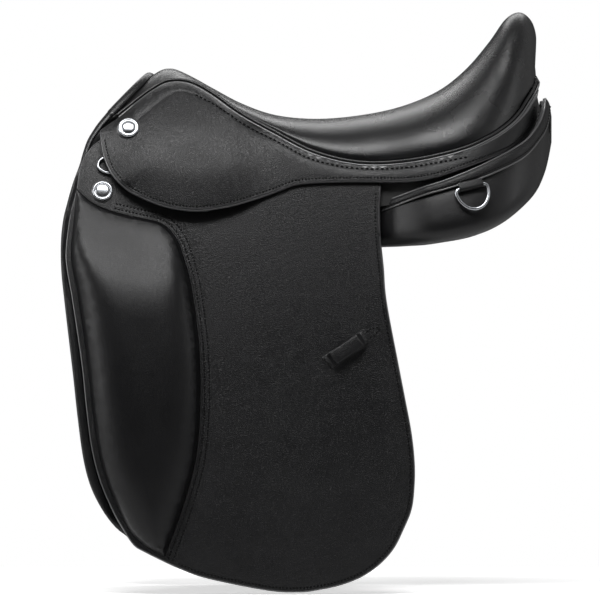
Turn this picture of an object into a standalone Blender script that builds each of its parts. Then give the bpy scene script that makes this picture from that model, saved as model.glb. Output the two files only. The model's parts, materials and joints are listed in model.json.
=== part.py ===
"""Dressage saddle: tree, panels, flaps, seat, stirrup bars and ironmongery as separate pieces.

+X runs to the cantle, -Y is the near (left) side and +Z is up. The origin is on the centre
plane in the channel under the middle of the seat. Side-view outlines are in millimetres.
"""

import math

import bmesh
import bpy
import numpy as np
from mathutils import Matrix, Vector
from mathutils.geometry import delaunay_2d_cdt

MM = 0.001

# Clearances
GAP = 0.3 * MM
BEND_GAP = 3.0 * MM

# Form of the sides: half width of the flap's outer face at the arch, at the rear and at the cantle
NECK_WIDTH = 42 * MM
NECK_HEIGHT = 107 * MM
FRONT_SPREAD = 125 * MM
FRONT_FALL = 190 * MM
REAR_WIDTH = 158 * MM
REAR_TAPER = 46 * MM
REAR_FALL = 160 * MM
REAR_LEVEL = 20 * MM
TWIST_START = -140 * MM
TWIST_END = 60 * MM
SEAT_FLARE = 16 * MM
FLARE_START = 70 * MM
FLARE_LOW = -170 * MM
FLARE_HIGH = -40 * MM
CANTLE_START = 150 * MM
CANTLE_LENGTH = 103 * MM
PANEL_END_LENGTH = 117 * MM
PLAN_ROUNDNESS = 2.4

# Leather and other sheet thicknesses
FLAP_LEATHER = 4.0 * MM
SKIRT_LEATHER = 3.0 * MM
SWEAT_LEATHER = 3.0 * MM
SEAT_LEATHER = 2.6 * MM
BLOCK_LEATHER = 2.4 * MM
LINING = 1.6 * MM
WEB = 1.5 * MM
TAB_LEATHER = 1.4 * MM

# Seat
SEAT_COLUMNS = 8
FOAM_COLUMNS = 6
FOAM_EDGE = 9 * MM
WEB_INSET = 7 * MM
TREE_CROWN = 0.45
CANTLE_CROWN = 0.78
WELT_RADIUS = 1.6 * MM
WELT_END_GAP = 4.2 * MM
ROLL_RADIUS = 4.2 * MM
ROLL_SEAT = 1.4 * MM

# Tree
TREE_THICKNESS = 7 * MM
RAIL_OUTER = -4.3 * MM
RAIL_THICKNESS = 6 * MM
RAIL_DROP = 11 * MM
TREE_INSET = RAIL_THICKNESS - RAIL_OUTER + 3 * GAP
ARCH_WIDTH = 20 * MM
ARCH_THICKNESS = 5 * MM
ARCH_SHOULDER = 34 * MM
ARCH_STATION = 2.2
ARCH_SEAT = 3.0 * MM
SPRING_THICKNESS = 1.5 * MM
SPRING_WIDTH = 22 * MM
SPRING_SPACING = 80 * MM
WEB_DEPTH = 3.0 * MM
SPRING_DEPTH = 6.5 * MM
LINING_DEPTH = 10.7 * MM
LINING_HALF = 27 * MM

# Stirrup bar
BAR_MIDDLE = (-119 * MM, 5 * MM)
BAR_LENGTH = 62 * MM
BAR_HEIGHT = 12 * MM
BAR_BLADE = 4 * MM
BAR_SLOT = 8.5 * MM
BAR_ROOT = 3 * MM
BAR_ARM = 7 * MM
BAR_SEAT = 1.5 * MM
CATCH_LENGTH = 16 * MM
CATCH_HEIGHT = 8 * MM

# Knee block
BLOCK_CROWN = 32 * MM
BLOCK_SHOULDER = 46 * MM
BLOCK_RISE = 0.36
BLOCK_HEAD = 3.0 * MM
BLOCK_EDGE = 3.2 * MM

# Billets
BILLET_WIDTH = 26 * MM
BILLET_THICKNESS = 4.0 * MM
BILLET_OUTER = -6.2 * MM
BILLET_END = -392 * MM
BILLET_HOLES = 7
BILLET_HOLE_PITCH = 25 * MM
BILLET_HOLE_RADIUS = 2.6 * MM
FRONT_BILLET_X = -88 * MM
REAR_BILLET_X = 18 * MM

# Studs and rings
HEAD_STUD_RADIUS = 11.2 * MM
FLAP_STUD_RADIUS = 10.9 * MM
STUD_HEIGHT = 4.0 * MM
STUD_SEAT = 1.9 * MM
RING_WIDTH = 38 * MM
RING_DEPTH = 28.5 * MM
RING_WIRE = 1.9 * MM
RING_TILT = 16.8
RING_TAB_WIDTH = 26 * MM
RING_TAB_LENGTH = 3.4 * MM
FRONT_RING_WIDTH = 24 * MM
FRONT_RING_DEPTH = 24 * MM
FRONT_RING_WIRE = 1.4 * MM
FRONT_RING_TILT = -85.0
FRONT_TAB_WIDTH = 13 * MM
FRONT_TAB_LENGTH = 8 * MM

# Keeper
KEEPER_LENGTH = 48 * MM
KEEPER_WIDTH = 14 * MM
KEEPER_TILT = 34.6
KEEPER_LEATHER = 2.2 * MM
KEEPER_OPENING = 7.6 * MM

# Layers, measured from the flap's outer face
SKIRT_LIFT = 2.0 * MM
SKIRT_FRONT_LIFT = 7.5 * MM
SKIRT_EDGE_LIFT = 0.5 * MM
SKIRT_EDGE_REACH = 22 * MM
SKIRT_SINK = 1.5 * MM
SKIRT_ROLL = 16 * MM
SKIRT_BULGE = 9.5 * MM
SKIRT_BULGE_RADIUS = 88 * MM
SWEAT_OUTER = -11.7 * MM
SWEAT_ROLL = 16 * MM
PANEL_OUTER = -15.8 * MM
GUSSET_OUTER = 5.0 * MM
STRIP_LEATHER = 2.9 * MM


def mm(*pairs):
    """Side-view points in millimetres as (x, z) in metres"""
    return [(x * MM, z * MM) for x, z in pairs]


# Seat stations from the pommel to the back of the cantle: centre line and welt line
SEAT_CENTRE = mm(
    (-153.3, 114.7), (-147.5, 117.8), (-141, 119.6), (-131, 118.5), (-114, 110.7),
    (-92, 98.5), (-62, 82.6), (-27, 70.4), (15, 66.2), (60, 69.5), (105, 78.6),
    (145, 95), (175, 118), (200, 147), (218, 172), (233, 179.3), (245, 171),
    (250.5, 155), (249.6, 138), (248, 124),
)
SEAT_EDGE = mm(
    (-194.5, 67.5), (-177, 82), (-158, 96.5), (-140, 105.8), (-117, 105.2),
    (-92, 92.5), (-62, 71), (-27, 51.5), (15, 30), (63, 18.8), (115, 20.8),
    (165, 31.5), (197, 45), (218, 59.5), (230, 72), (238, 84.5), (243.5, 93),
    (246.5, 98.5), (248, 102), (248.6, 105),
)
LAST = len(SEAT_EDGE) - 1
SEAT_ROWS = (0.5, *range(1, LAST), LAST - 0.5, LAST)

# Side-view outlines
SKIRT_EDGE = mm(
    (-210.5, 48.4), (-209.6, 36.3), (-205.5, 18.3), (-196.5, 0.2), (-182.4, -13.9),
    (-164.3, -23.9), (-144.3, -31.9), (-124.2, -36), (-104.1, -37), (-84, -34),
    (-63.9, -29), (-23.7, -13.9), (0, -5.9), (50.2, -3.5), (110.5, -3.5),
    (140.6, 0.5), (170.7, 10.2), (200.9, 22.3), (220.9, 32.3), (237.1, 48.4),
    (244.5, 62), (247.5, 76), (247.5, 88),
)
FLAP_REAR_EDGE = mm(
    (84.3, -62.1), (87.4, -92.2), (90.4, -126), (102.5, -190.3), (109.5, -226.5),
    (116.6, -264.6), (119.9, -296.7), (119.5, -322.9), (116.6, -344.9), (108.5, -365.1),
    (98.4, -385.1), (84.3, -401.2), (66.3, -414.2), (44.2, -423.3), (20.1, -428.7),
    (0, -431.1), (-33.8, -429.3), (-94.1, -417.3), (-124.2, -407.2), (-162.3, -389.1),
    (-174.4, -381.2), (-186.5, -363), (-196.5, -344.9), (-208.5, -316.8),
    (-217.6, -282.7), (-223.7, -238.5), (-228.6, -192.3), (-238.7, -126),
    (-244.7, -92.2), (-245.7, -72.1), (-243.5, -50),
)
FLAP_HEAD_EDGE = mm(
    (-240, -29), (-234.7, -8.4), (-231, 15.8), (-222, 33), (-211, 43),
    (-202, 47), (-190, 48), (-178, 42), (-168, 20), (-162, -2), (-155, -12),
    (-120, -13), (-60, -14), (0, -15), (50, -15.5), (84.3, -15),
)
SWEAT_EDGE = mm(
    (70, -66), (75, -120), (90, -230), (98, -310), (88, -355), (60, -385), (20, -400),
    (-60, -405), (-150, -392), (-182.4, -371.1), (-194.5, -361), (-206.5, -344.9),
    (-218.6, -320.9), (-226.6, -290.7), (-232.7, -246.5), (-237.6, -202.3),
    (-246.8, -126), (-250.3, -92.2), (-250.7, -62.1), (-248.5, -42),
)
BLOCK_EDGE_LINE = mm(
    (-150.3, -46), (-138.2, -52), (-128.2, -64.2), (-122.1, -80.2), (-116.1, -100.3),
    (-112.1, -120.3), (-106.1, -166.2), (-104.1, -202.3), (-104.1, -238.5),
    (-106.1, -270.6), (-110.1, -298.7), (-118.1, -328.9), (-127.2, -357),
    (-136.2, -381.2), (-142, -392),
)
BLOCK_FRONT_LINE = mm(
    (-160, -385), (-176, -370), (-190, -344), (-202, -316), (-211, -282), (-217.5, -238),
    (-222.5, -192), (-232, -126), (-238, -92), (-239, -72), (-236, -50),
)
RAIL_LOWER = mm(
    (-156, -6), (-80, -6), (-45, 2), (0, 2), (60, -4), (90, -1), (120, 3), (152, 11), (182, 20)
)
RAIL_FRONT = mm((-127, 92), (-137, 70), (-146, 52), (-154, 28), (-156, 8))
STRIP_UPPER = mm((90, -19), (120.5, -10), (160.7, 4), (200.9, 18), (228, 30), (241, 44))
STRIP_LOWER = mm((243, 37), (231, 23), (190.8, 3), (140.6, -11), (94, -22))

HINGE_FRONT = (-245 * MM, -32 * MM)
HINGE_REAR = (89 * MM, -60 * MM)
SKIRT_BEND_FRONT = (-208 * MM, 40 * MM)
SKIRT_BEND_REAR = (10 * MM, 5 * MM)

HEAD_STUD = (-180.3 * MM, 48.5 * MM)
FLAP_STUD = (-207.3 * MM, -12 * MM)
REAR_RING = (178.2 * MM, -8.7 * MM)
FRONT_RING = (-191 * MM, 16 * MM)
KEEPER = (48.8 * MM, -178.2 * MM)


def smooth(low, high, value):
    """Smooth step from 0 at low to 1 at high"""
    t = min(max((value - low) / (high - low), 0.0), 1.0)
    return t * t * (3 - 2 * t)


def half_width(x, z, end_length=CANTLE_LENGTH):
    """Distance of the saddle's side from the centre plane at a side-view point"""
    front = NECK_WIDTH + FRONT_SPREAD * (1 - math.exp(-(NECK_HEIGHT - z) / FRONT_FALL))
    rear = REAR_WIDTH - REAR_TAPER * math.exp((z - REAR_LEVEL) / REAR_FALL)
    width = front + (rear - front) * smooth(TWIST_START, TWIST_END, x)
    width += SEAT_FLARE * smooth(FLARE_START, CANTLE_START, x) * smooth(FLARE_LOW, FLARE_HIGH, z)
    if x > CANTLE_START:
        reach = min((x - CANTLE_START) / end_length, 1.0)
        width *= (1 - reach**PLAN_ROUNDNESS) ** (1 / PLAN_ROUNDNESS)
    return width


def on_side(x, z, offset, side=1):
    """Point at a distance from the side's face, measured square to it"""
    step = 1 * MM
    slope_x = (half_width(x + step, z) - half_width(x - step, z)) / (2 * step)
    slope_z = (half_width(x, z + step) - half_width(x, z - step)) / (2 * step)
    normal = Vector((-slope_x, 1.0, -slope_z)).normalized()
    point = Vector((x, half_width(x, z), z)) + normal * offset
    return Vector((point.x, side * point.y, point.z))


def catmull(points, index, fraction):
    """Point on a smooth curve through the points, between two of them"""
    last = len(points) - 1
    p0, p1, p2, p3 = (
        np.array(points[min(max(index + k, 0), last)], float) for k in (-1, 0, 1, 2)
    )
    t = fraction
    return 0.5 * (
        2 * p1
        + (p2 - p0) * t
        + (2 * p0 - 5 * p1 + 4 * p2 - p3) * t * t
        + (3 * p1 - p0 - 3 * p2 + p3) * t**3
    )


def station(points, u):
    """Point of a curve at a station number, which may lie between two stations"""
    index = min(int(u), len(points) - 2)
    return catmull(points, index, u - index)


def path(points, spacing):
    """Points about one spacing apart on a smooth curve through the given ones"""
    fine = [catmull(points, i, k / 8) for i in range(len(points) - 1) for k in range(8)]
    fine.append(np.array(points[-1], float))
    fine = np.array(fine)
    along = np.concatenate([[0], np.cumsum(np.linalg.norm(np.diff(fine, axis=0), axis=1))])
    count = max(int(round(along[-1] / spacing)), 1) + 1
    wanted = np.linspace(0, along[-1], count)
    return [
        tuple(float(np.interp(s, along, fine[:, axis])) for axis in range(fine.shape[1]))
        for s in wanted
    ]


def height_curve(points):
    """Function that gives the height of a side-view curve at x"""
    fine = sorted(path(points, 5 * MM))
    xs, zs = [p[0] for p in fine], [p[1] for p in fine]
    return lambda x: float(np.interp(x, xs, zs))


def line_height(front, rear, x):
    """Height of the straight line through two side-view points at x"""
    return front[1] + (rear[1] - front[1]) * (x - front[0]) / (rear[0] - front[0])


def rounded_strip(centre, length, width, tilt=0.0, corner=4):
    """Side-view outline of a strap end to end, with half-round ends"""
    turn = math.radians(tilt)
    ends = []
    for end, start in ((1, -90), (-1, 90)):
        for step in range(corner + 1):
            angle = math.radians(start + 180 * step / corner)
            along = end * (length - width) / 2 + math.cos(angle) * width / 2
            across = math.sin(angle) * width / 2
            ends.append(
                (
                    centre[0] + along * math.cos(turn) - across * math.sin(turn),
                    centre[1] + along * math.sin(turn) + across * math.cos(turn),
                )
            )
    return ends


def edge_distance(point, outline):
    """Distance of a side-view point from an outline"""
    start = outline
    run = np.roll(outline, -1, axis=0) - start
    share = ((point - start) * run).sum(1) / np.maximum((run**2).sum(1), 1e-18)
    nearest = start + run * np.clip(share, 0, 1)[:, None]
    return float(np.linalg.norm(nearest - point, axis=1).min())


def is_inside(point, outline):
    """Whether a side-view point lies inside an outline"""
    x, z = point
    after = np.roll(outline, -1, axis=0)
    crosses = (outline[:, 1] > z) != (after[:, 1] > z)
    rise = np.where(crosses, after[:, 1] - outline[:, 1], 1.0)
    at = outline[:, 0] + (z - outline[:, 1]) / rise * (after[:, 0] - outline[:, 0])
    return bool(np.count_nonzero(crosses & (x < at)) % 2)


def fill(outline, spacing, holes=()):
    """Triangles that fill an outline, with inner points on a staggered grid"""
    rim = np.array(outline, float)
    rings = [rim] + [np.array(hole, float) for hole in holes]
    points, edges = [], []
    for ring in rings:
        first = len(points)
        points += [Vector(p) for p in ring]
        edges += [(first + k, first + (k + 1) % len(ring)) for k in range(len(ring))]
    low, high = rim.min(0), rim.max(0)
    row_step = spacing * math.sqrt(3) / 2
    for row in range(1, int((high[1] - low[1]) / row_step) + 1):
        for column in range(int((high[0] - low[0]) / spacing) + 2):
            x = low[0] + (column + 0.5 * (row % 2)) * spacing
            point = np.array((x, low[1] + row * row_step))
            clear = all(edge_distance(point, ring) > 0.55 * spacing for ring in rings)
            if clear and is_inside(point, rim):
                points.append(Vector(point))
    found = delaunay_2d_cdt(points, edges, [], 0, 1e-7, False)
    flat = [tuple(p) for p in found[0]]
    kept = []
    for face in found[2]:
        middle = np.mean([flat[k] for k in face], axis=0)
        if is_inside(middle, rim) and not any(is_inside(middle, ring) for ring in rings[1:]):
            kept.append(tuple(face))
    return flat, kept, rim


def finish(name, vertices, faces, material, origin=(0, 0, 0), turn=None):
    """Object from a mesh, its faces turned outwards, with its origin where it is carried"""
    mesh = bpy.data.meshes.new(name)
    origin = Vector(origin)
    mesh.from_pydata([Vector(v) - origin for v in vertices], [], faces)
    if turn is not None:
        mesh.transform(turn)
    work = bmesh.new()
    work.from_mesh(mesh)
    bmesh.ops.recalc_face_normals(work, faces=work.faces)
    work.to_mesh(mesh)
    work.free()
    mesh.shade_smooth()
    mesh.set_sharp_from_angle(angle=math.radians(40))
    mesh.materials.append(material)
    item = bpy.data.objects.new(name, mesh)
    item.location = origin
    bpy.context.scene.collection.objects.link(item)
    return item


def plate(name, outline, inner, outer, spacing, material, side, origin=(0, 0, 0), holes=()):
    """Sheet or pad on the side's face; inner and outer give its layers at x, z and depth in"""
    flat, triangles, rim = fill(outline, spacing, holes)
    depths = [edge_distance(np.array(p), rim) for p in flat]
    vertices = [on_side(x, z, inner(x, z, d), side) for (x, z), d in zip(flat, depths)]
    vertices += [on_side(x, z, outer(x, z, d), side) for (x, z), d in zip(flat, depths)]
    count = len(flat)
    directed = set()
    for face in triangles:
        directed.update(zip(face, face[1:] + face[:1]))
    rim_edges = sorted(edge for edge in directed if edge[::-1] not in directed)
    faces = [tuple(k + count for k in face) for face in triangles]
    faces += [face[::-1] for face in triangles]
    faces += [(a, b, b + count, a + count) for a, b in rim_edges]
    return finish(name, vertices, faces, material, origin)


def layers(inner, outer):
    """Constant inner and outer layers for a plate"""
    return (lambda x, z, d: inner), (lambda x, z, d: outer)


def grid_slab(name, upper, lower, material):
    """Closed sheet between two grids of points with the same rows and columns"""
    rows, columns = len(upper), len(upper[0])
    count = rows * columns
    vertices = [p for row in upper for p in row] + [p for row in lower for p in row]
    faces = []
    for i in range(rows - 1):
        for j in range(columns - 1):
            a = i * columns + j
            for cell in ((a, a + 1, a + columns + 1), (a, a + columns + 1, a + columns)):
                faces.append(cell)
                faces.append(tuple(k + count for k in cell[::-1]))
    rim = [j for j in range(columns)]
    rim += [i * columns + columns - 1 for i in range(1, rows)]
    rim += [(rows - 1) * columns + j for j in range(columns - 2, -1, -1)]
    rim += [i * columns for i in range(rows - 2, 0, -1)]
    for a, b in zip(rim, rim[1:] + rim[:1]):
        faces.append((b, a, a + count, b + count))
    return finish(name, vertices, faces, material)


def loft(name, loops, material, origin=(0, 0, 0)):
    """Closed solid through loops of points, capped at both ends"""
    size = len(loops[0])
    vertices = [p for loop in loops for p in loop]
    faces = [tuple(range(size))]
    for i in range(len(loops) - 1):
        for j in range(size):
            a, b = i * size + j, i * size + (j + 1) % size
            faces += [(a, b, b + size), (a, b + size, a + size)]
    last = (len(loops) - 1) * size
    faces.append(tuple(range(last + size - 1, last - 1, -1)))
    return finish(name, vertices, faces, material, origin)


def sweep(name, points, frames, section, material, origin=(0, 0, 0)):
    """Section carried along points, each with its own two directions"""
    loops = [
        [p + across * s + out * t for s, t in section]
        for p, (across, out) in zip(points, frames)
    ]
    return loft(name, loops, material, origin)


def tube(name, points, radius, material, closed=False, sides=2, origin=(0, 0, 0)):
    """Round cord or wire along points"""
    curve = bpy.data.curves.new(name, "CURVE")
    curve.dimensions = "3D"
    curve.bevel_depth = radius
    curve.bevel_resolution = sides
    curve.use_fill_caps = not closed
    spline = curve.splines.new("POLY")
    spline.points.add(len(points) - 1)
    for target, point in zip(spline.points, points):
        target.co = (*(Vector(point) - Vector(origin)), 1)
    spline.use_cyclic_u = closed
    curve.materials.append(material)
    item = bpy.data.objects.new(name, curve)
    item.location = origin
    bpy.context.scene.collection.objects.link(item)
    return item


def turned(name, profile, material, origin, frame, segments=16):
    """Turned solid: profile points are radius and height along the frame's Z"""
    vertices, faces = [], []
    for radius, height in profile[1:-1]:
        for k in range(segments):
            angle = 2 * math.pi * k / segments
            vertices.append((radius * math.cos(angle), radius * math.sin(angle), height))
    vertices += [(0, 0, profile[0][1]), (0, 0, profile[-1][1])]
    bottom, top = len(vertices) - 2, len(vertices) - 1
    rings = len(profile) - 2
    for k in range(segments):
        after = (k + 1) % segments
        faces.append((bottom, after, k))
        for ring in range(rings - 1):
            a, b = ring * segments + k, ring * segments + after
            faces.append((a, b, b + segments, a + segments))
        high = (rings - 1) * segments
        faces.append((high + k, high + after, top))
    item = finish(name, vertices, faces, material)
    item.location = origin
    item.rotation_euler = frame.to_euler()
    return item


def paint(name, colour, roughness, metallic=0.0):
    """Material with a sRGB hex colour"""
    material = bpy.data.materials.new(name)
    material.use_nodes = True
    shader = material.node_tree.nodes["Principled BSDF"]
    channels = [int(colour[k : k + 2], 16) / 255 for k in (0, 2, 4)]
    linear = [c / 12.92 if c <= 0.04045 else ((c + 0.055) / 1.055) ** 2.4 for c in channels]
    shader.inputs["Base Color"].default_value = (*linear, 1)
    shader.inputs["Roughness"].default_value = roughness
    shader.inputs["Metallic"].default_value = metallic
    return material


def seat_point(u, angle):
    """Point of the seat's surface: station u, angle from the centre line in degrees"""
    centre, edge = station(SEAT_CENTRE, u), station(SEAT_EDGE, u)
    swing = math.sin(math.radians(abs(angle)))
    fullness = 2.0 + 0.6 * smooth(2, 8, u) - 0.4 * smooth(11, 15, u)
    rounded = math.sqrt(max(1 - swing**fullness, 0.0))
    sloping = 1 - swing**2.2
    share = max(1 - smooth(3, 6.5, u), smooth(15, 17.5, u))
    height = rounded + (sloping - rounded) * share
    x, z = edge + (centre - edge) * height
    width = half_width(edge[0], edge[1])
    return Vector((x, math.copysign(width * swing, angle), z)), height


def seat_inward(u):
    """Direction from the seat's surface towards its tree at a station"""
    lean = math.radians(8 * smooth(11, 14, u) + 30 * smooth(13.5, 15, u) + 42 * smooth(15, 17, u))
    return Vector((-math.sin(lean), 0, -math.cos(lean)))


def tree_face(u, share):
    """Point on the tree's upper face at a station and a share of its half width"""
    centre, edge = station(SEAT_CENTRE, u), station(SEAT_EDGE, u)
    reach = half_width(*edge) - WEB_INSET
    crown = TREE_CROWN + (CANTLE_CROWN - TREE_CROWN) * smooth(10, 15, u)
    x, z = edge + (centre - edge) * crown * (1 - min(abs(share), 1.0) ** 2.2)
    return Vector((x, share * reach, z)) + seat_inward(u) * FOAM_EDGE


def tree_point(u, y, depth):
    """Point below the tree's upper face, measured square to it, at a distance from the middle"""
    share = y / (half_width(*station(SEAT_EDGE, u)) - WEB_INSET)
    along = tree_face(min(u + 0.1, LAST), share) - tree_face(max(u - 0.1, 0), share)
    across = tree_face(u, share + 0.02) - tree_face(u, share - 0.02)
    return tree_face(u, share) - along.cross(across).normalized() * depth


def seat_normal(u, angle):
    """Unit vector out of the seat's surface"""
    step_u, step_a = 0.05, 1.0
    low, high = max(u - step_u, 0), min(u + step_u, LAST)
    along = seat_point(high, angle)[0] - seat_point(low, angle)[0]
    across = seat_point(u, angle + step_a)[0] - seat_point(u, angle - step_a)[0]
    return along.cross(across).normalized()


def spread(low, high, count):
    """Evenly spaced numbers from low to high"""
    return [low + (high - low) * k / (count - 1) for k in range(count)]


def tree_rows(stations, reach, top, bottom):
    """Upper and lower rows of a layer on the tree, at two depths, as far as reach inside it"""
    upper, lower = [], []
    for u in stations:
        half = half_width(*station(SEAT_EDGE, u))
        step = (half - WEB_INSET) / FOAM_COLUMNS
        ys = [k * step for k in range(FOAM_COLUMNS)] + [half - TREE_INSET]
        if reach < TREE_INSET:
            ys.append(half - reach)
        ys = [-y for y in ys[:0:-1]] + ys
        upper.append([tree_point(u, y, top) for y in ys])
        lower.append([tree_point(u, y, bottom) for y in ys])
    return upper, lower


# Panel stations from the front to the rear: x, inner edge, heights of the inner edge's top and
# bottom and of the outer edge's top and bottom, and the bottom's width
PANEL_STATIONS = [
    tuple(value * MM for value in row)
    for row in (
        (-246, 76, -46, -62, -44, -104, 12),
        (-236, 60, 4, -16, 4, -158, 14),
        (-216, 48, 30, 8, 28, -182, 16),
        (-190, 40, 42, 22, 38, -184, 17),
        (-160, 34, 56, 36, 42, -176, 18),
        (-120, 30, 70, 44, 54, -158, 20),
        (-80, 30, 60, 32, 44, -138, 24),
        (-40, 31, 40, 12, 28, -117, 28),
        (0, 33, 22, -6, 13, -96, 32),
        (40, 35, 19, -15, 6, -80, 36),
        (80, 36, 22, -22, -3, -69, 38),
        (110, 37, 32, -26, -4, -67, 40),
        (140, 38, 44, -26, 2, -65, 40),
        (170, 38, 58, -20, 11, -60, 40),
        (200, 38, 70, -8, 22, -51, 38),
        (225, 37, 78, 6, 33, -35, 32),
        (245, 35, 80, 24, 46, -15, 22),
        (258, 33, 74, 38, 56, 8, 14),
        (264, 36, 62, 46, 58, 32, 8),
    )
]
PANEL_STEPS = 2
STRIP_COLUMNS = range(3 * PANEL_STEPS, 4 * PANEL_STEPS + 1)

WELT_HEIGHT = height_curve(SEAT_EDGE)
SKIRT_LOW = height_curve(SKIRT_EDGE[2:])
STRIP_TOP = height_curve(STRIP_UPPER)
STRIP_BOTTOM = height_curve(STRIP_LOWER)
RAIL_BOTTOM = height_curve(RAIL_LOWER)


def panel_outer(x, z):
    """Half width of a panel's outer face: under the flap, then swelling into the gusset"""
    layer = PANEL_OUTER + (GUSSET_OUTER - PANEL_OUTER) * smooth(86 * MM, 124 * MM, x)
    step = 1 * MM
    slope = (half_width(x, z + step) - half_width(x, z - step)) / (2 * step)
    return half_width(x, z, PANEL_END_LENGTH) + layer * math.hypot(1, slope)


def panel_controls(row):
    """Corner points across the panel at one station, as y and z"""
    x, inner, top_in, bottom_in, top_out, bottom_out, foot = row
    gusset = smooth(86 * MM, 124 * MM, x)
    tucked = min(half_width(x, top_out), half_width(x, top_out, PANEL_END_LENGTH)) + PANEL_OUTER
    tucked = max(tucked, inner + 6 * MM)
    strip_high = top_out - 10 * MM + (STRIP_TOP(x) - top_out + 10 * MM) * gusset
    strip_low = top_out - 24 * MM + (STRIP_BOTTOM(x) - top_out + 24 * MM) * gusset
    strip_y = panel_outer(x, strip_high) - 5 * MM * gusset
    middle = 0.5 * (strip_low + bottom_out)
    outer = panel_outer(x, bottom_out)
    low_y = max(outer - foot, inner + 3 * MM)
    chord_y, chord_z = 0.5 * (inner + low_y), 0.5 * (bottom_in + bottom_out)
    hollow = 0.12 * (bottom_in - bottom_out)
    return [
        (inner, top_in),
        (0.5 * (inner + tucked), 0.5 * (top_in + top_out) + 2 * MM),
        (tucked, top_out),
        (max(strip_y, inner + 8 * MM), strip_high),
        (max(panel_outer(x, strip_low) - 1 * MM * gusset, inner + 9 * MM), strip_low),
        (max(panel_outer(x, middle), inner + 10 * MM), middle),
        (max(outer - 1 * MM, inner + 9 * MM), 0.75 * bottom_out + 0.25 * middle),
        (max(outer - 0.4 * foot, inner + 6 * MM), bottom_out - 3 * MM),
        (low_y, bottom_out),
        (chord_y, chord_z + hollow),
        (inner, bottom_in),
    ]


def spline_loop(controls, steps):
    """Closed cubic B-spline through the neighbourhood of its control points"""
    count = len(controls)
    points = []
    for k in range(count):
        p0, p1, p2, p3 = (np.array(controls[(k + j - 1) % count]) for j in range(4))
        for step in range(steps):
            t = step / steps
            points.append(
                (
                    (1 - t) ** 3 * p0
                    + (3 * t**3 - 6 * t**2 + 4) * p1
                    + (-3 * t**3 + 3 * t**2 + 3 * t + 1) * p2
                    + t**3 * p3
                )
                / 6
            )
    return points


def panel_loops():
    """Loops of the left-hand panel's form, with y positive, and their outward directions"""
    loops = []
    for row in PANEL_STATIONS:
        section = spline_loop(panel_controls(row), PANEL_STEPS)
        loop = []
        for k, (y, z) in enumerate(section):
            ahead, behind = section[(k + 1) % len(section)], section[k - 1]
            run = np.array(ahead) - np.array(behind)
            out = np.array((-run[1], run[0])) / np.linalg.norm(run)
            loop.append((Vector((row[0], y, z)), Vector((0, *out))))
        loops.append(loop)
    return loops


PANEL_LOOPS = panel_loops()


def panel_face(x, z):
    """Half width of the panel's outer face at a side-view point, on its facets"""
    xs = [row[0] for row in PANEL_STATIONS]
    after = min(max(int(np.searchsorted(xs, x)), 1), len(xs) - 1)
    widths = []
    for index in (after - 1, after):
        side = [p for p, out in PANEL_LOOPS[index][2 * PANEL_STEPS : 7 * PANEL_STEPS]]
        side.sort(key=lambda p: p.z)
        widths.append(float(np.interp(z, [p.z for p in side], [p.y for p in side])))
    share = (x - xs[after - 1]) / (xs[after] - xs[after - 1])
    return widths[0] + (widths[1] - widths[0]) * share


def on_panel(x, z, offset, side=1):
    """Point at a distance from the panel's outer face, measured square to it"""
    step = 4 * MM
    slope_x = (panel_face(x + step, z) - panel_face(x - step, z)) / (2 * step)
    slope_z = (panel_face(x, z + step) - panel_face(x, z - step)) / (2 * step)
    normal = Vector((-slope_x, 1.0, -slope_z)).normalized()
    point = Vector((x, panel_face(x, z), z)) + normal * offset
    return Vector((point.x, side * point.y, point.z))


def face_frame(surface, place, side, tilt=0.0):
    """Frame on a face: X along the saddle turned by tilt, Z out of the face"""
    out = (surface(*place, 1 * MM, side) - surface(*place, 0.0, side)).normalized()
    along = Vector((math.cos(math.radians(tilt)), 0, math.sin(math.radians(tilt))))
    along = (along - out * along.dot(out)).normalized()
    across = out.cross(along)
    return Matrix((along, across, out)).transposed()


def edge_angle(u):
    """Angle at which the seat's cover ends, just clear of the welt"""
    edge = station(SEAT_EDGE, u)
    corner = Vector((edge[0], half_width(*edge), edge[1]))
    reach = WELT_RADIUS + 4 * GAP
    reach += WELT_END_GAP * max(smooth(2.5, 1, u), smooth(LAST - 2, LAST - 0.5, u))
    angle = 89.5
    while True:
        shown = seat_point(u, angle)[0]
        under = shown - seat_normal(u, angle) * SEAT_LEATHER
        if min((shown - corner).length, (under - corner).length) > reach:
            return angle
        angle -= 0.5


def seat_row(u, columns):
    """Places across the seat at a station, as station and angle, shared by all its layers"""
    step = edge_angle(u) / SEAT_COLUMNS
    return [(u, k * step) for k in range(-columns, columns + 1)]


def seat_cover(material):
    """Blocked leather over the seat, from the pommel to the back of the cantle"""
    upper, lower = [], []
    for u in (0, *SEAT_ROWS):
        row = seat_row(u, SEAT_COLUMNS)
        upper.append([seat_point(*place)[0] for place in row])
        lower.append([seat_point(*p)[0] - seat_normal(*p) * SEAT_LEATHER for p in row])
    return grid_slab("seat_cover", upper, lower, material)


def seat_foam(material):
    """Foam between the webbing and the cover"""
    inset = SEAT_LEATHER + 2 * GAP
    upper = []
    for u in range(1, LAST):
        row = seat_row(u, FOAM_COLUMNS + 1)
        upper.append([seat_point(*place)[0] - seat_normal(*place) * inset for place in row])
    lower = tree_rows(range(1, LAST), WEB_INSET, 0, GAP)[0]
    return grid_slab("seat_foam", upper, lower, material)


def welt_points():
    """Line of the welt round the seat, from one front corner to the other"""
    side = [station(SEAT_EDGE, u) for u in SEAT_ROWS[1:]]
    left = [on_side(x, z, 0, -1) for x, z in side]
    right = [on_side(x, z, 0, 1) for x, z in side]
    back = []
    for _, angle in seat_row(LAST, SEAT_COLUMNS - 1):
        end, before = seat_point(LAST, angle)[0], seat_point(LAST - 0.3, angle)[0]
        back.append(end + (end - before).normalized() * (WELT_RADIUS + 5 * GAP))
    return left + back + right[::-1]


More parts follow.
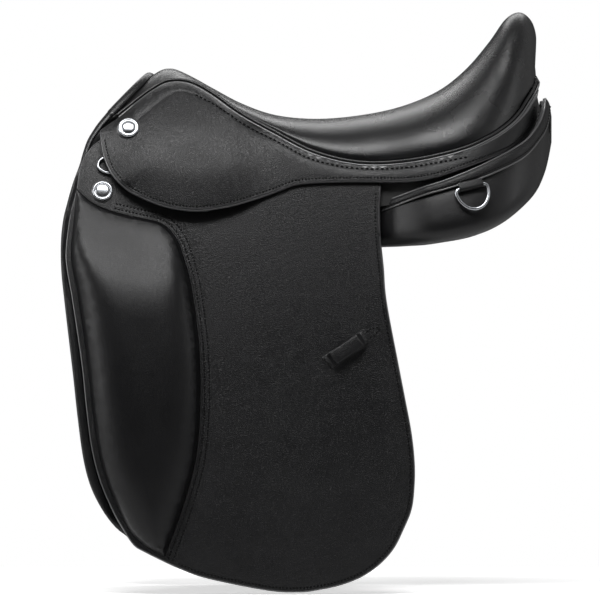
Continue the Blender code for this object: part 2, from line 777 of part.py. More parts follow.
def roll_points():
    """Line of the rolled leather along the front of the pommel"""
    arch = []
    for angle in spread(0, 90, 9):
        share = angle / 90
        lean = Vector((-0.90 + 0.13 * share, 0, -0.43 + 1.07 * share)).normalized()
        arch.append(seat_point(0, angle)[0] + lean * (ROLL_RADIUS + ROLL_SEAT))
    foot = [on_side(x, z, 2 * MM) for x, z in mm((-208.2, 62.2), (-216, 53.2))]
    half = arch + foot
    mirrored = [Vector((p.x, -p.y, p.z)) for p in reversed(half[1:])]
    return mirrored + half


def seat(materials):
    """Cover, foam, webbing, welt, pommel roll and the straps under them"""
    seat_cover(materials["seat"])
    seat_foam(materials["foam"])
    tube("seat_welt", welt_points(), WELT_RADIUS, materials["seat"])
    tube("pommel_roll", roll_points(), ROLL_RADIUS, materials["seat"])
    webbing = tree_rows(range(2, 16), WEB_INSET, 2 * GAP, 2 * GAP + WEB)
    grid_slab("seat_webbing", *webbing, materials["web"])
    for name, first, last in (("front_girth_web", 5.7, 6.7), ("rear_girth_web", 7.9, 8.8)):
        rows = tree_rows(spread(first, last, 3), TREE_INSET, WEB_DEPTH, WEB_DEPTH + WEB)
        grid_slab(name, *rows, materials["web"])


def tree(materials):
    """Laminated tree: head, cantle and rails, with the spring strips and the gullet plate"""
    deep = WEB_DEPTH + TREE_THICKNESS
    head, cantle = (1, 2, 3, 4, 5, 5.5), (12, 13, 14, 15)
    for name, stations in (("tree_head", head), ("tree_cantle", cantle)):
        grid_slab(name, *tree_rows(stations, TREE_INSET, WEB_DEPTH, deep), materials["tree"])
    inner, outer = layers(RAIL_OUTER - RAIL_THICKNESS, RAIL_OUTER)
    ends = RAIL_FRONT[0][0] + 4 * MM, RAIL_LOWER[-1][0]
    top = [(x, z - RAIL_DROP) for x, z in path(SEAT_EDGE, 20 * MM) if ends[0] < x < ends[1]]
    outline = path(RAIL_LOWER, 22 * MM) + top[::-1] + RAIL_FRONT
    for side, word in ((-1, "left"), (1, "right")):
        plate("tree_rail_" + word, outline, inner, outer, 24 * MM, materials["tree"], side)
        spring_strip(side, word, materials["steel"])
    gullet_plate(materials["steel"])
    lining(materials["lining"])


def spring_strip(side, word, material):
    """Flat steel strip under the webbing, from the head to the cantle"""
    upper, lower = [], []
    for u in (5.62, *range(6, 12), 11.92):
        edges = [side * (SPRING_SPACING / 2 + k * SPRING_WIDTH) for k in (-0.5, 0.5)]
        upper.append([tree_point(u, y, SPRING_DEPTH) for y in edges])
        lower.append([tree_point(u, y, SPRING_DEPTH + SPRING_THICKNESS) for y in edges])
    grid_slab("tree_spring_" + word, upper, lower, material)


def gullet_plate(material):
    """Steel arch under the tree's head, its legs flat against the flaps' fixed heads"""
    legs = path(mm((-182, -28), (-177, 0), (-171, 30), (-163, 52)), 16 * MM)
    half = [on_side(x, z, RAIL_OUTER, -1) for x, z in legs]
    depth = WEB_DEPTH + TREE_THICKNESS + ARCH_SEAT
    along = [Vector((1, 0, 0))] * len(half)
    for y in spread(-ARCH_SHOULDER, 0, 5):
        half.append(tree_point(ARCH_STATION, y, depth))
        run = tree_point(ARCH_STATION + 0.5, y, depth) - tree_point(ARCH_STATION - 0.5, y, depth)
        along.append(run.normalized())
    centre = half + [Vector((p.x, -p.y, p.z)) for p in half[-2::-1]]
    along += along[-2::-1]
    frames = []
    for k, across in enumerate(along):
        run = centre[min(k + 1, len(centre) - 1)] - centre[max(k - 1, 0)]
        frames.append((across, across.cross(run).normalized()))
    section = [
        (-ARCH_WIDTH / 2, -ARCH_THICKNESS), (ARCH_WIDTH / 2, -ARCH_THICKNESS),
        (ARCH_WIDTH / 2, 0), (-ARCH_WIDTH / 2, 0),
    ]
    sweep("gullet_plate", centre, frames, section, material)


def lining(material):
    """Leather lining of the channel under the tree"""
    upper, lower = [], []
    for u in (5, 5.5, *range(6, 14)):
        ys = spread(-LINING_HALF, LINING_HALF, 5)
        upper.append([tree_point(u, y, LINING_DEPTH) for y in ys])
        lower.append([tree_point(u, y, LINING_DEPTH + LINING) for y in ys])
    grid_slab("channel_lining", upper, lower, material)


def skirt_layer(x, z, depth):
    """Layer of the skirt's inner face: raised over the stirrup bar, down at its edges"""
    lift = SKIRT_LIFT + (SKIRT_FRONT_LIFT - SKIRT_LIFT) * smooth(-20 * MM, -80 * MM, x)
    reach = math.hypot(x - BAR_MIDDLE[0], z - BAR_MIDDLE[1])
    lift += SKIRT_BULGE * smooth(SKIRT_BULGE_RADIUS, 0.3 * SKIRT_BULGE_RADIUS, reach)
    low = z - SKIRT_LOW(x)
    ring = math.hypot(x - FRONT_RING[0], z - FRONT_RING[1])
    edge = smooth(0, SKIRT_EDGE_REACH, low) + smooth(34 * MM, 20 * MM, ring)
    lift = SKIRT_EDGE_LIFT + (lift - SKIRT_EDGE_LIFT) * min(edge, 1.0)
    top = smooth(0, SKIRT_ROLL, WELT_HEIGHT(x) - z)
    return -SKIRT_SINK + (lift + SKIRT_SINK) * top


def skirts(materials):
    """Skirts: the fixed upper parts and the bellies that lift off the stirrup bars"""
    bend = lambda x: line_height(SKIRT_BEND_FRONT, SKIRT_BEND_REAR, x)
    step = WELT_RADIUS + 2 * GAP
    welt = [station(SEAT_EDGE, u) for u in range(LAST - 2)]
    top = []
    for k, (x, z) in enumerate(welt):
        ahead, behind = welt[min(k + 1, len(welt) - 1)], welt[max(k - 1, 0)]
        run = np.array(ahead) - np.array(behind)
        run /= np.linalg.norm(run)
        top.append((x + run[1] * step, z - run[0] * step))
    edge = path(SKIRT_EDGE, 14 * MM)
    low = [p for p in edge if p[1] < bend(p[0]) - BEND_GAP and p[0] < SKIRT_BEND_REAR[0] - BEND_GAP]
    rear = [p for p in edge if p[0] > SKIRT_BEND_REAR[0] + BEND_GAP + 2 * MM]
    corner = SKIRT_BEND_REAR[0] + BEND_GAP
    front = [p for p in edge[:6] if p[1] > bend(p[0]) + BEND_GAP]
    bends = path([(corner, bend(corner) + BEND_GAP), (-208 * MM, bend(-208 * MM) + BEND_GAP)], 24 * MM)
    fixed = top + rear[::-1] + [(corner, SKIRT_LOW(corner))] + bends + front[::-1]
    corner = SKIRT_BEND_REAR[0] - BEND_GAP
    bends = path([(corner, bend(corner) - BEND_GAP), (-208.6 * MM, bend(-208.6 * MM) - BEND_GAP)], 20 * MM)
    belly = low + [(corner, SKIRT_LOW(corner))] + bends
    inner = skirt_layer
    outer = lambda x, z, d: skirt_layer(x, z, d) + SKIRT_LEATHER
    for side, word in ((-1, "left"), (1, "right")):
        middle = skirt_hinge(side)[0]
        plate("skirt_" + word, fixed, inner, outer, 22 * MM, materials["leather"], side)
        plate(
            "skirt_belly_" + word, belly, inner, outer, 24 * MM, materials["leather"], side, middle
        )


def skirt_hinge(side):
    """Middle and direction of the skirt's bend line"""
    front = on_side(*SKIRT_BEND_FRONT, SKIRT_FRONT_LIFT, side)
    rear = on_side(*SKIRT_BEND_REAR, SKIRT_LIFT, side)
    return (front + rear) / 2, (rear - front).normalized()


def flap_hinge(side):
    """Middle and direction of the bend line that both flaps share"""
    front = on_side(*HINGE_FRONT, -FLAP_LEATHER / 2, side)
    rear = on_side(*HINGE_REAR, -FLAP_LEATHER / 2, side)
    return (front + rear) / 2, (rear - front).normalized()


def flap_bend(x):
    """Height of the flaps' bend line at x"""
    return line_height(HINGE_FRONT, HINGE_REAR, x)


def bend_edge(front_x, rear_x, shift, spacing):
    """Edge beside the flaps' bend line, from rear to front"""
    ends = [(rear_x, flap_bend(rear_x) + shift), (front_x, flap_bend(front_x) + shift)]
    return path(ends, spacing)


def flap_outlines():
    """Outlines of the flap's moving part, its fixed head and the sweat flap"""
    rear, front = FLAP_REAR_EDGE[0][0], FLAP_REAR_EDGE[-1][0] + 2 * MM
    moving = path(FLAP_REAR_EDGE, 20 * MM) + bend_edge(front, rear, -BEND_GAP, 30 * MM)[::-1]
    head_rear, head_front = FLAP_HEAD_EDGE[-1][0], FLAP_HEAD_EDGE[0][0] - 0.8 * MM
    head = path(FLAP_HEAD_EDGE, 13 * MM)[1:] + bend_edge(head_front, head_rear, BEND_GAP, 24 * MM)
    sweat = path(SWEAT_EDGE, 22 * MM)
    sweat += bend_edge(SWEAT_EDGE[-1][0] + 1 * MM, SWEAT_EDGE[0][0], -BEND_GAP, 30 * MM)[::-1]
    return moving, head, sweat


def block_height(x, z, depth):
    """Height of the knee block's cover above the flap"""
    share = min(depth / BLOCK_SHOULDER, 1.0)
    crown = BLOCK_EDGE + (BLOCK_CROWN - BLOCK_EDGE) * math.sqrt(1 - (1 - share) ** 2)
    return min(crown, BLOCK_HEAD + BLOCK_RISE * (flap_bend(x) - z))


def knee_block(side, word, materials, origin):
    """Padded block in front of the knee: its cover and the foam core inside it"""
    rear = path(BLOCK_EDGE_LINE, 18 * MM)
    front = path(BLOCK_FRONT_LINE, 18 * MM)
    outline = rear + front
    foot = 2 * GAP
    under = lambda x, z, d: foot + block_height(x, z, d) - BLOCK_LEATHER
    shown = lambda x, z, d: foot + block_height(x, z, d)
    core_low = lambda x, z, d: foot
    core_top = lambda x, z, d: under(x, z, d) - GAP
    cover, core = materials["block"], materials["foam"]
    plate("knee_block_" + word, outline, under, shown, 20 * MM, cover, side, origin)
    plate("knee_block_core_" + word, outline, core_low, core_top, 20 * MM, core, side, origin)


def keeper(side, word, material, origin):
    """Leather loop on the flap, tilted up to the rear"""
    turn = math.radians(KEEPER_TILT)
    raised = KEEPER_OPENING + KEEPER_LEATHER
    half, half_width_ = KEEPER_LENGTH / 2, KEEPER_WIDTH / 2
    outer = [(-half, GAP), (-half, KEEPER_LEATHER), (-0.8 * half, KEEPER_LEATHER + GAP),
             (-0.62 * half, raised), (0.62 * half, raised), (0.8 * half, KEEPER_LEATHER + GAP),
             (half, KEEPER_LEATHER), (half, GAP)]
    inner = [(0.72 * half, GAP), (0.54 * half, KEEPER_OPENING), (-0.54 * half, KEEPER_OPENING),
             (-0.72 * half, GAP)]
    loops = []
    for across in (-half_width_, half_width_):
        loop = []
        for along, lift in outer + inner:
            x = KEEPER[0] + along * math.cos(turn) - across * math.sin(turn)
            z = KEEPER[1] + along * math.sin(turn) + across * math.cos(turn)
            loop.append(on_side(x, z, lift, side))
        loops.append(loop)
    loft("keeper_" + word, loops, material, origin)


def sweat_layer(x, z, depth):
    """Outer face of the sweat flap, with the padded roll along its front edge"""
    front = smooth(-205 * MM, -225 * MM, x) * smooth(SWEAT_ROLL, 0.5 * SWEAT_ROLL, depth)
    return SWEAT_OUTER + (-FLAP_LEATHER - 2 * GAP - SWEAT_OUTER) * front


def billet(name, x, side, material):
    """Girth strap with punched holes, hanging from the tree"""
    half = BILLET_WIDTH / 2
    top = min(RAIL_BOTTOM(x - half), RAIL_BOTTOM(x + half)) - 2 * GAP
    left = path([(x - half, top), (x - half, BILLET_END + 10 * MM)], 30 * MM)
    right = path([(x + half, BILLET_END + 10 * MM), (x + half, top)], 30 * MM)
    outline = left + [(x - 5 * MM, BILLET_END), (x + 5 * MM, BILLET_END)] + right
    holes = []
    for k in range(BILLET_HOLES):
        level = BILLET_END + 26 * MM + k * BILLET_HOLE_PITCH
        ring = [
            (x + BILLET_HOLE_RADIUS * math.cos(a), level + BILLET_HOLE_RADIUS * math.sin(a))
            for a in (2 * math.pi * j / 6 for j in range(6))
        ]
        holes.append(ring)
    inner, outer = layers(BILLET_OUTER - BILLET_THICKNESS, BILLET_OUTER)
    origin = on_side(x, top, BILLET_OUTER, side)
    plate(name, outline, inner, outer, 30 * MM, material, side, origin, holes)


def stud(name, place, radius, lift, side, material):
    """Domed stud with a sunk ring round its middle"""
    base = GAP + lift
    profile = [
        (0, base), (radius, base), (radius, base + 0.35 * STUD_HEIGHT),
        (0.86 * radius, base + 0.72 * STUD_HEIGHT), (0.70 * radius, base + 0.78 * STUD_HEIGHT),
        (0.62 * radius, base + 0.66 * STUD_HEIGHT), (0.4 * radius, base + 0.92 * STUD_HEIGHT),
        (0, base + STUD_HEIGHT),
    ]
    origin = on_side(*place, 0, side)
    turned(name, profile, material, origin, face_frame(on_side, place, side))


def ring_points(width, depth, wire):
    """Centre line of a D-ring: straight bar along X, bow towards -Y"""
    corner = 1.3 * wire
    half, reach = width / 2 - wire, depth - 2 * wire
    points = [(x, 0.0) for x in spread(-half + corner, half - corner, 5)]
    points.append((half - 0.3 * corner, -0.3 * corner))
    for angle in spread(0, 180, 15):
        turn = math.radians(angle)
        points.append((half * math.cos(turn), -corner - (reach - corner) * math.sin(turn)))
    points.append((-half + 0.3 * corner, -0.3 * corner))
    return points


def ring_and_tab(word, end, surface, place, tilt, sizes, side, materials):
    """D-ring in the fold of a leather tab; the bar lies in the fold"""
    width, depth, wire, tab_width, tab_length, layer = sizes
    frame = face_frame(surface, place, side, tilt)
    lift = layer + GAP + TAB_LEATHER + GAP + wire
    outer_radius = wire + GAP + TAB_LEATHER
    flip = 1 if side < 0 else -1
    origin = surface(*place, lift, side)
    ring = [origin + frame @ Vector((x, flip * y, 0)) for x, y in ring_points(width, depth, wire)]
    ring_name = f"{end}_d_ring_{word}"
    tube(ring_name, ring, wire, materials["chrome"], closed=True, sides=2, origin=origin)
    outline = []
    for radius, turns in ((outer_radius, (0, 45, 90, 135, 180)), (wire + GAP, (180, 135, 90, 45, 0))):
        bow = [(-radius * math.sin(math.radians(d)), -radius * math.cos(math.radians(d)))
               for d in turns]
        start, end_ = (tab_length, bow[0][1]), (tab_length, bow[-1][1])
        outline += [start] + bow + [end_]
    loops = []
    for along in (-tab_width / 2, tab_width / 2):
        loops.append(
            [origin + frame @ Vector((along, flip * up, out)) for up, out in outline]
        )
    loft(f"{end}_d_tab_{word}", loops, materials["leather"])


def stirrup_bar(side, word, material):
    """Forged stirrup bar on the tree rail, with the catch at the end of its blade"""
    frame = face_frame(on_side, BAR_MIDDLE, side)
    origin = on_side(*BAR_MIDDLE, 0, side)
    root = RAIL_OUTER + BAR_SEAT
    half = BAR_LENGTH / 2
    blade = root + BAR_ROOT + BAR_SLOT
    outline = [
        (-half, root), (half, root), (half, root + BAR_ROOT), (-half + BAR_ARM, root + BAR_ROOT),
        (-half + BAR_ARM, blade), (half, blade), (half, blade + BAR_BLADE),
        (-half, blade + BAR_BLADE),
    ]
    loops = []
    for level in (-BAR_HEIGHT / 2, BAR_HEIGHT / 2):
        loops.append([origin + frame @ Vector((x, level, out)) for x, out in outline])
    loft("stirrup_bar_" + word, loops, material)
    radius = CATCH_HEIGHT / 2
    pivot = half + GAP + radius
    outline = rounded_strip(
        (pivot - radius + CATCH_LENGTH / 2, 0), CATCH_LENGTH, CATCH_HEIGHT
    )
    pivot_point = origin + frame @ Vector((pivot, 0, blade + BAR_BLADE / 2))
    loops = []
    for out in (blade + GAP, blade + BAR_BLADE - GAP):
        loops.append([origin + frame @ Vector((x, level, out)) for x, level in outline])
    loft("stirrup_catch_" + word, loops, material, pivot_point)


def panels(materials):
    """Panels with their gussets, and the piped strip along the top of each gusset"""
    stations = [row[0] for row in PANEL_STATIONS]
    for side, word in ((-1, "left"), (1, "right")):
        flip = lambda p: Vector((p.x, side * p.y, p.z))
        loops = [[flip(p) for p, out in loop] for loop in PANEL_LOOPS]
        loft("panel_" + word, loops, materials["panel"])
        upper, lower = [], []
        for x, loop in zip(stations, PANEL_LOOPS):
            if 90 * MM < x < 250 * MM:
                band = [loop[k] for k in STRIP_COLUMNS]
                upper.append([flip(p + out * (2 * GAP + STRIP_LEATHER)) for p, out in band])
                lower.append([flip(p + out * 2 * GAP) for p, out in band])
        grid_slab("panel_strip_" + word, upper, lower, materials["leather"])


def rear_facing(material):
    """Leather facing across the back, from the welt down between the panels"""
    upper, lower = [], []
    for z in spread(60 * MM, 106 * MM, 5):
        x = (257.9 - 10 * smooth(60 * MM, 110 * MM, z)) * MM
        row_up, row_low = [], []
        for y in spread(-30 * MM, 30 * MM, 7):
            bow = 4 * MM * (y / (30 * MM)) ** 2
            row_up.append(Vector((x - bow, y, z)))
            row_low.append(Vector((x - bow - SKIRT_LEATHER, y, z)))
        upper.append(row_up)
        lower.append(row_low)
    grid_slab("rear_facing", upper, lower, material)


def flaps(materials):
    """Flaps, sweat flaps, knee blocks, keepers, billets, studs, rings and bars of both sides"""
    moving, head, sweat = flap_outlines()
    leather = materials["leather"]
    for side, word in ((-1, "left"), (1, "right")):
        origin = flap_hinge(side)[0]
        inner, outer = layers(-FLAP_LEATHER, 0)
        plate("flap_head_" + word, head, inner, outer, 26 * MM, leather, side)
        plate("flap_" + word, moving, inner, outer, 34 * MM, leather, side, origin)
        back = lambda x, z, d: SWEAT_OUTER - SWEAT_LEATHER
        plate("sweat_flap_" + word, sweat, back, sweat_layer, 34 * MM, leather, side, origin)
        knee_block(side, word, materials, origin)
        keeper(side, word, leather, origin)
        billet("front_billet_" + word, FRONT_BILLET_X, side, leather)
        billet("rear_billet_" + word, REAR_BILLET_X, side, leather)
        stirrup_bar(side, word, materials["steel"])
        lift = skirt_layer(*HEAD_STUD, 0) + SKIRT_LEATHER + STUD_SEAT
        chrome = materials["chrome"]
        stud("pommel_stud_" + word, HEAD_STUD, HEAD_STUD_RADIUS, lift, side, chrome)
        stud("flap_stud_" + word, FLAP_STUD, FLAP_STUD_RADIUS, 0, side, chrome)
        rear = (RING_WIDTH, RING_DEPTH, RING_WIRE, RING_TAB_WIDTH, RING_TAB_LENGTH, 0)
        ring_and_tab(word, "rear", on_panel, REAR_RING, RING_TILT, rear, side, materials)
        front = (
            FRONT_RING_WIDTH, FRONT_RING_DEPTH, FRONT_RING_WIRE, FRONT_TAB_WIDTH,
            FRONT_TAB_LENGTH, 0,
        )
        ring_and_tab(word, "front", on_side, FRONT_RING, FRONT_RING_TILT, front, side, materials)


def main():
    for item in list(bpy.data.objects):
        bpy.data.objects.remove(item)
    materials = {
        "leather": paint("grained_leather", "2b2b2c", 0.5),
        "seat": paint("seat_leather", "242425", 0.36),
        "block": paint("block_leather", "1f1f20", 0.34),
        "panel": paint("panel_leather", "1b1b1c", 0.42),
        "lining": paint("lining_leather", "17171a", 0.6),
        "foam": paint("foam", "d8d0b4", 0.9),
        "web": paint("webbing", "cfc8b6", 0.85),
        "tree": paint("laminated_tree", "7a5a3a", 0.55),
        "steel": paint("spring_steel", "6f7377", 0.35, 1.0),
        "chrome": paint("chrome", "d9dbdd", 0.08, 1.0),
    }
    seat(materials)
    tree(materials)
    skirts(materials)
    flaps(materials)
    panels(materials)
    rear_facing(materials["leather"])


main()
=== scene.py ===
import json
import math
import bpy
import bmesh
import numpy as np
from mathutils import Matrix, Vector
from mathutils.geometry import delaunay_2d_cdt


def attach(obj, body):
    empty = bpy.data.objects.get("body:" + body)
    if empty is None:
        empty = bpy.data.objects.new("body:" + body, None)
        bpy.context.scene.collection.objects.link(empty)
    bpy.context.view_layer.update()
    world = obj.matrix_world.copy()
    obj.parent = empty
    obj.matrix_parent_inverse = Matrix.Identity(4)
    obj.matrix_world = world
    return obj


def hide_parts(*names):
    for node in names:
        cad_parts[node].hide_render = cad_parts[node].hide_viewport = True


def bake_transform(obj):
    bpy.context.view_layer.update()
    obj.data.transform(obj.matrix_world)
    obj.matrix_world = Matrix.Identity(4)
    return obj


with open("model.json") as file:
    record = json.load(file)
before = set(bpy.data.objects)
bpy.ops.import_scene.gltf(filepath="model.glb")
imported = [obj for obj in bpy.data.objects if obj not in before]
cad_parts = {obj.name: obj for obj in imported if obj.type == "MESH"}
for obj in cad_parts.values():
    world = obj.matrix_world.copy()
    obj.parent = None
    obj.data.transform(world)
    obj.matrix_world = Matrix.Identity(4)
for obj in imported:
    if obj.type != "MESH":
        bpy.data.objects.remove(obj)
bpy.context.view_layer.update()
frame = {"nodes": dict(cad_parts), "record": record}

mil = 0.001
sides = ((-1, "left"), (1, "right"))
root = "seat_and_tree"


# The saddle's side: how far it stands from the centre plane at each side-view point
form = {
    "neckWidth": 42, "neckHeight": 107, "frontSpread": 125, "frontFall": 190,
    "rearWidth": 158, "rearTaper": 46, "rearFall": 160, "rearLevel": 20,
    "twistStart": -140, "twistEnd": 60, "flare": 16, "flareStart": 70,
    "flareLow": -170, "flareHigh": -40, "cantleStart": 150, "cantleLength": 103,
    "panelLength": 117, "roundness": 2.4,
}


def ease(low, high, value):
    t = np.clip((np.asarray(value, float) - low) / (high - low), 0, 1)
    return t * t * (3 - 2 * t)


def halfWidth(x, z, endLength=form["cantleLength"]):    # millimetres in and out
    x, z = np.asarray(x, float), np.asarray(z, float)
    f = form
    front = f["neckWidth"] + f["frontSpread"] * (1 - np.exp((z - f["neckHeight"]) / f["frontFall"]))
    rear = f["rearWidth"] - f["rearTaper"] * np.exp((z - f["rearLevel"]) / f["rearFall"])
    width = front + (rear - front) * ease(f["twistStart"], f["twistEnd"], x)
    width = width + f["flare"] * ease(f["flareStart"], f["cantleStart"], x) * ease(
        f["flareLow"], f["flareHigh"], z)
    reach = np.clip((x - f["cantleStart"]) / endLength, 0, 0.9999)
    return width * (1 - reach ** f["roundness"]) ** (1 / f["roundness"])


def sidePoints(x, z, lift, side, face=halfWidth):    # rows of x, y, z, lifted square to the face
    x, z, lift = (np.asarray(v, float) for v in (x, z, lift))
    slopeX = (face(x + 1, z) - face(x - 1, z)) / 2
    slopeZ = (face(x, z + 1) - face(x, z - 1)) / 2
    size = np.sqrt(1 + slopeX**2 + slopeZ**2)
    y = face(x, z) + lift / size
    return np.stack([x - slopeX * lift / size, side * y, z - slopeZ * lift / size], -1)


def curveAt(points, u):    # smooth curve through the points, at station numbers u
    p = np.asarray(points, float)
    u = np.clip(np.atleast_1d(np.asarray(u, float)), 0, len(p) - 1)
    i = np.minimum(u.astype(int), len(p) - 2)
    t = (u - i)[:, None]
    a, b, c, d = (p[np.clip(i + k, 0, len(p) - 1)] for k in (-1, 0, 1, 2))
    return 0.5 * (2 * b + (c - a) * t + (2 * a - 5 * b + 4 * c - d) * t**2
                  + (3 * b - a - 3 * c + d) * t**3)


def trace(points, spacing):    # evenly spaced points on that curve
    fine = curveAt(points, np.linspace(0, len(points) - 1, 12 * (len(points) - 1) + 1))
    along = np.concatenate([[0], np.cumsum(np.linalg.norm(np.diff(fine, axis=0), axis=1))])
    count = max(int(round(along[-1] / spacing)), 1) + 1
    wanted = np.linspace(0, along[-1], count)
    return np.stack([np.interp(wanted, along, fine[:, k]) for k in range(fine.shape[1])], -1)


def insetLine(line, amount):    # the same line moved square to itself, to its left
    run = np.gradient(line, axis=0)
    run /= np.linalg.norm(run, axis=1)[:, None]
    return line + np.stack([-run[:, 1], run[:, 0]], -1) * amount


def arc(centre, radii, start, end, count):    # points round an ellipse, between two angles in degrees
    return [(centre[0] + radii[0] * math.cos(t), centre[1] + radii[1] * math.sin(t))
            for t in map(math.radians, np.linspace(start, end, count))]


def distanceTo(line, points, closed=False):    # shortest distance of each point from a line
    line = np.asarray(line, float)
    start = line if closed else line[:-1]
    run = (np.roll(line, -1, axis=0) if closed else line[1:]) - start
    best = np.full(len(points), 1e9)
    for a, r in zip(start, run):
        t = np.clip(((points - a) @ r) / max(r @ r, 1e-12), 0, 1)
        best = np.minimum(best, np.linalg.norm(points - a - t[:, None] * r, axis=1))
    return best


def insideOf(line, points):
    odd = np.zeros(len(points), bool)
    for (x0, z0), (x1, z1) in zip(line, np.roll(line, -1, axis=0)):
        if z0 == z1:
            continue
        crosses = (z0 > points[:, 1]) != (z1 > points[:, 1])
        at = x0 + (points[:, 1] - z0) / (z1 - z0) * (x1 - x0)
        odd ^= crosses & (points[:, 0] < at)
    return odd


def addObject(name, vertices, faces, materials, faceSlots=None, sharp=40):    # vertices in mm
    mesh = bpy.data.meshes.new(name)
    mesh.from_pydata([tuple(v) for v in np.asarray(vertices, float) * mil], [], faces)
    if faceSlots is not None:
        mesh.polygons.foreach_set("material_index", np.asarray(faceSlots, np.int32))
    work = bmesh.new()
    work.from_mesh(mesh)
    bmesh.ops.recalc_face_normals(work, faces=work.faces)
    if work.calc_volume(signed=True) < 0:
        bmesh.ops.reverse_faces(work, faces=work.faces)
    work.to_mesh(mesh)
    work.free()
    mesh.shade_smooth()
    mesh.set_sharp_from_angle(angle=math.radians(sharp))
    for material in materials:
        mesh.materials.append(material)
    item = bpy.data.objects.new(name, mesh)
    bpy.context.scene.collection.objects.link(item)
    return item


def gridSheet(name, upper, lower, materials, sharp=40):    # closed sheet from two grids of points
    upper, lower = np.asarray(upper, float), np.asarray(lower, float)
    rows, columns = upper.shape[:2]
    count = rows * columns
    k = np.arange(count).reshape(rows, columns)
    a, b, c, d = k[:-1, :-1], k[:-1, 1:], k[1:, 1:], k[1:, :-1]
    top = np.stack([a, b, c, d], -1).reshape(-1, 4)
    rim = [*k[0], *k[1:, -1], *k[-1, -2::-1], *k[-2:0:-1, 0]]
    walls = [(rim[j], rim[(j + 1) % len(rim)], rim[(j + 1) % len(rim)] + count, rim[j] + count)
             for j in range(len(rim))]
    faces = [tuple(f) for f in top] + [tuple(f[::-1] + count) for f in top] + walls
    slots = [0] * (2 * len(top)) + [min(1, len(materials) - 1)] * len(walls)
    points = np.concatenate([upper.reshape(-1, 3), lower.reshape(-1, 3)])
    return addObject(name, points, faces, materials, slots, sharp)


def ringFaces(rows, size, spans):    # quads between rings of points; as many spans as rows closes them
    return [(i * size + j, i * size + (j + 1) % size, (i + 1) % rows * size + (j + 1) % size,
             (i + 1) % rows * size + j) for i in range(spans) for j in range(size)]


def ringLoft(name, loops, materials, sharp=40):    # closed body through closed loops
    loops = np.asarray(loops, float)
    rows, size = loops.shape[:2]
    faces = ringFaces(rows, size, rows - 1)
    first, last = rows * size, (rows - 1) * size
    for j in range(size):
        after = (j + 1) % size
        faces += [(first, after, j), (first + 1, last + j, last + after)]
    points = np.concatenate([loops.reshape(-1, 3), [loops[0].mean(0), loops[-1].mean(0)]])
    return addObject(name, points, faces, materials, None, sharp)


def tubeBody(name, points, radius, materials, sideCount=12, closed=False,
             across=(0.13, 0.29, 0.95), flat=1.0):
    points = np.asarray(points, float)
    run = np.gradient(points, axis=0)
    if closed:
        run = np.roll(points, -1, axis=0) - np.roll(points, 1, axis=0)
    run /= np.linalg.norm(run, axis=1)[:, None]
    first = np.array(across, float)
    turn = np.linspace(0, 2 * math.pi, sideCount, endpoint=False)
    radius = np.broadcast_to(radius, len(points))
    loops = []
    for middle, ahead, r in zip(points, run, radius):
        first = first - ahead * (first @ ahead)
        first = first / np.linalg.norm(first)
        second = np.cross(ahead, first)
        loops.append(middle + r * (np.cos(turn)[:, None] * first + flat * np.sin(turn)[:, None] * second))
    if not closed:
        return ringLoft(name, loops, materials, 60)
    faces = ringFaces(len(loops), sideCount, len(loops))
    return addObject(name, np.concatenate(loops), faces, materials, None, 60)


# How close to the rim, to a stitch line and to each other the points of a cut sheet may lie
cutting = {"ringKeep": 0.93, "rowClear": 1.2, "bendStep": 0.7, "bendClear": 0.4, "bendKeep": 0.6,
           "gridClear": 0.6, "lineClear": 0.45, "merge": 0.5, "smallest": 1e-5}


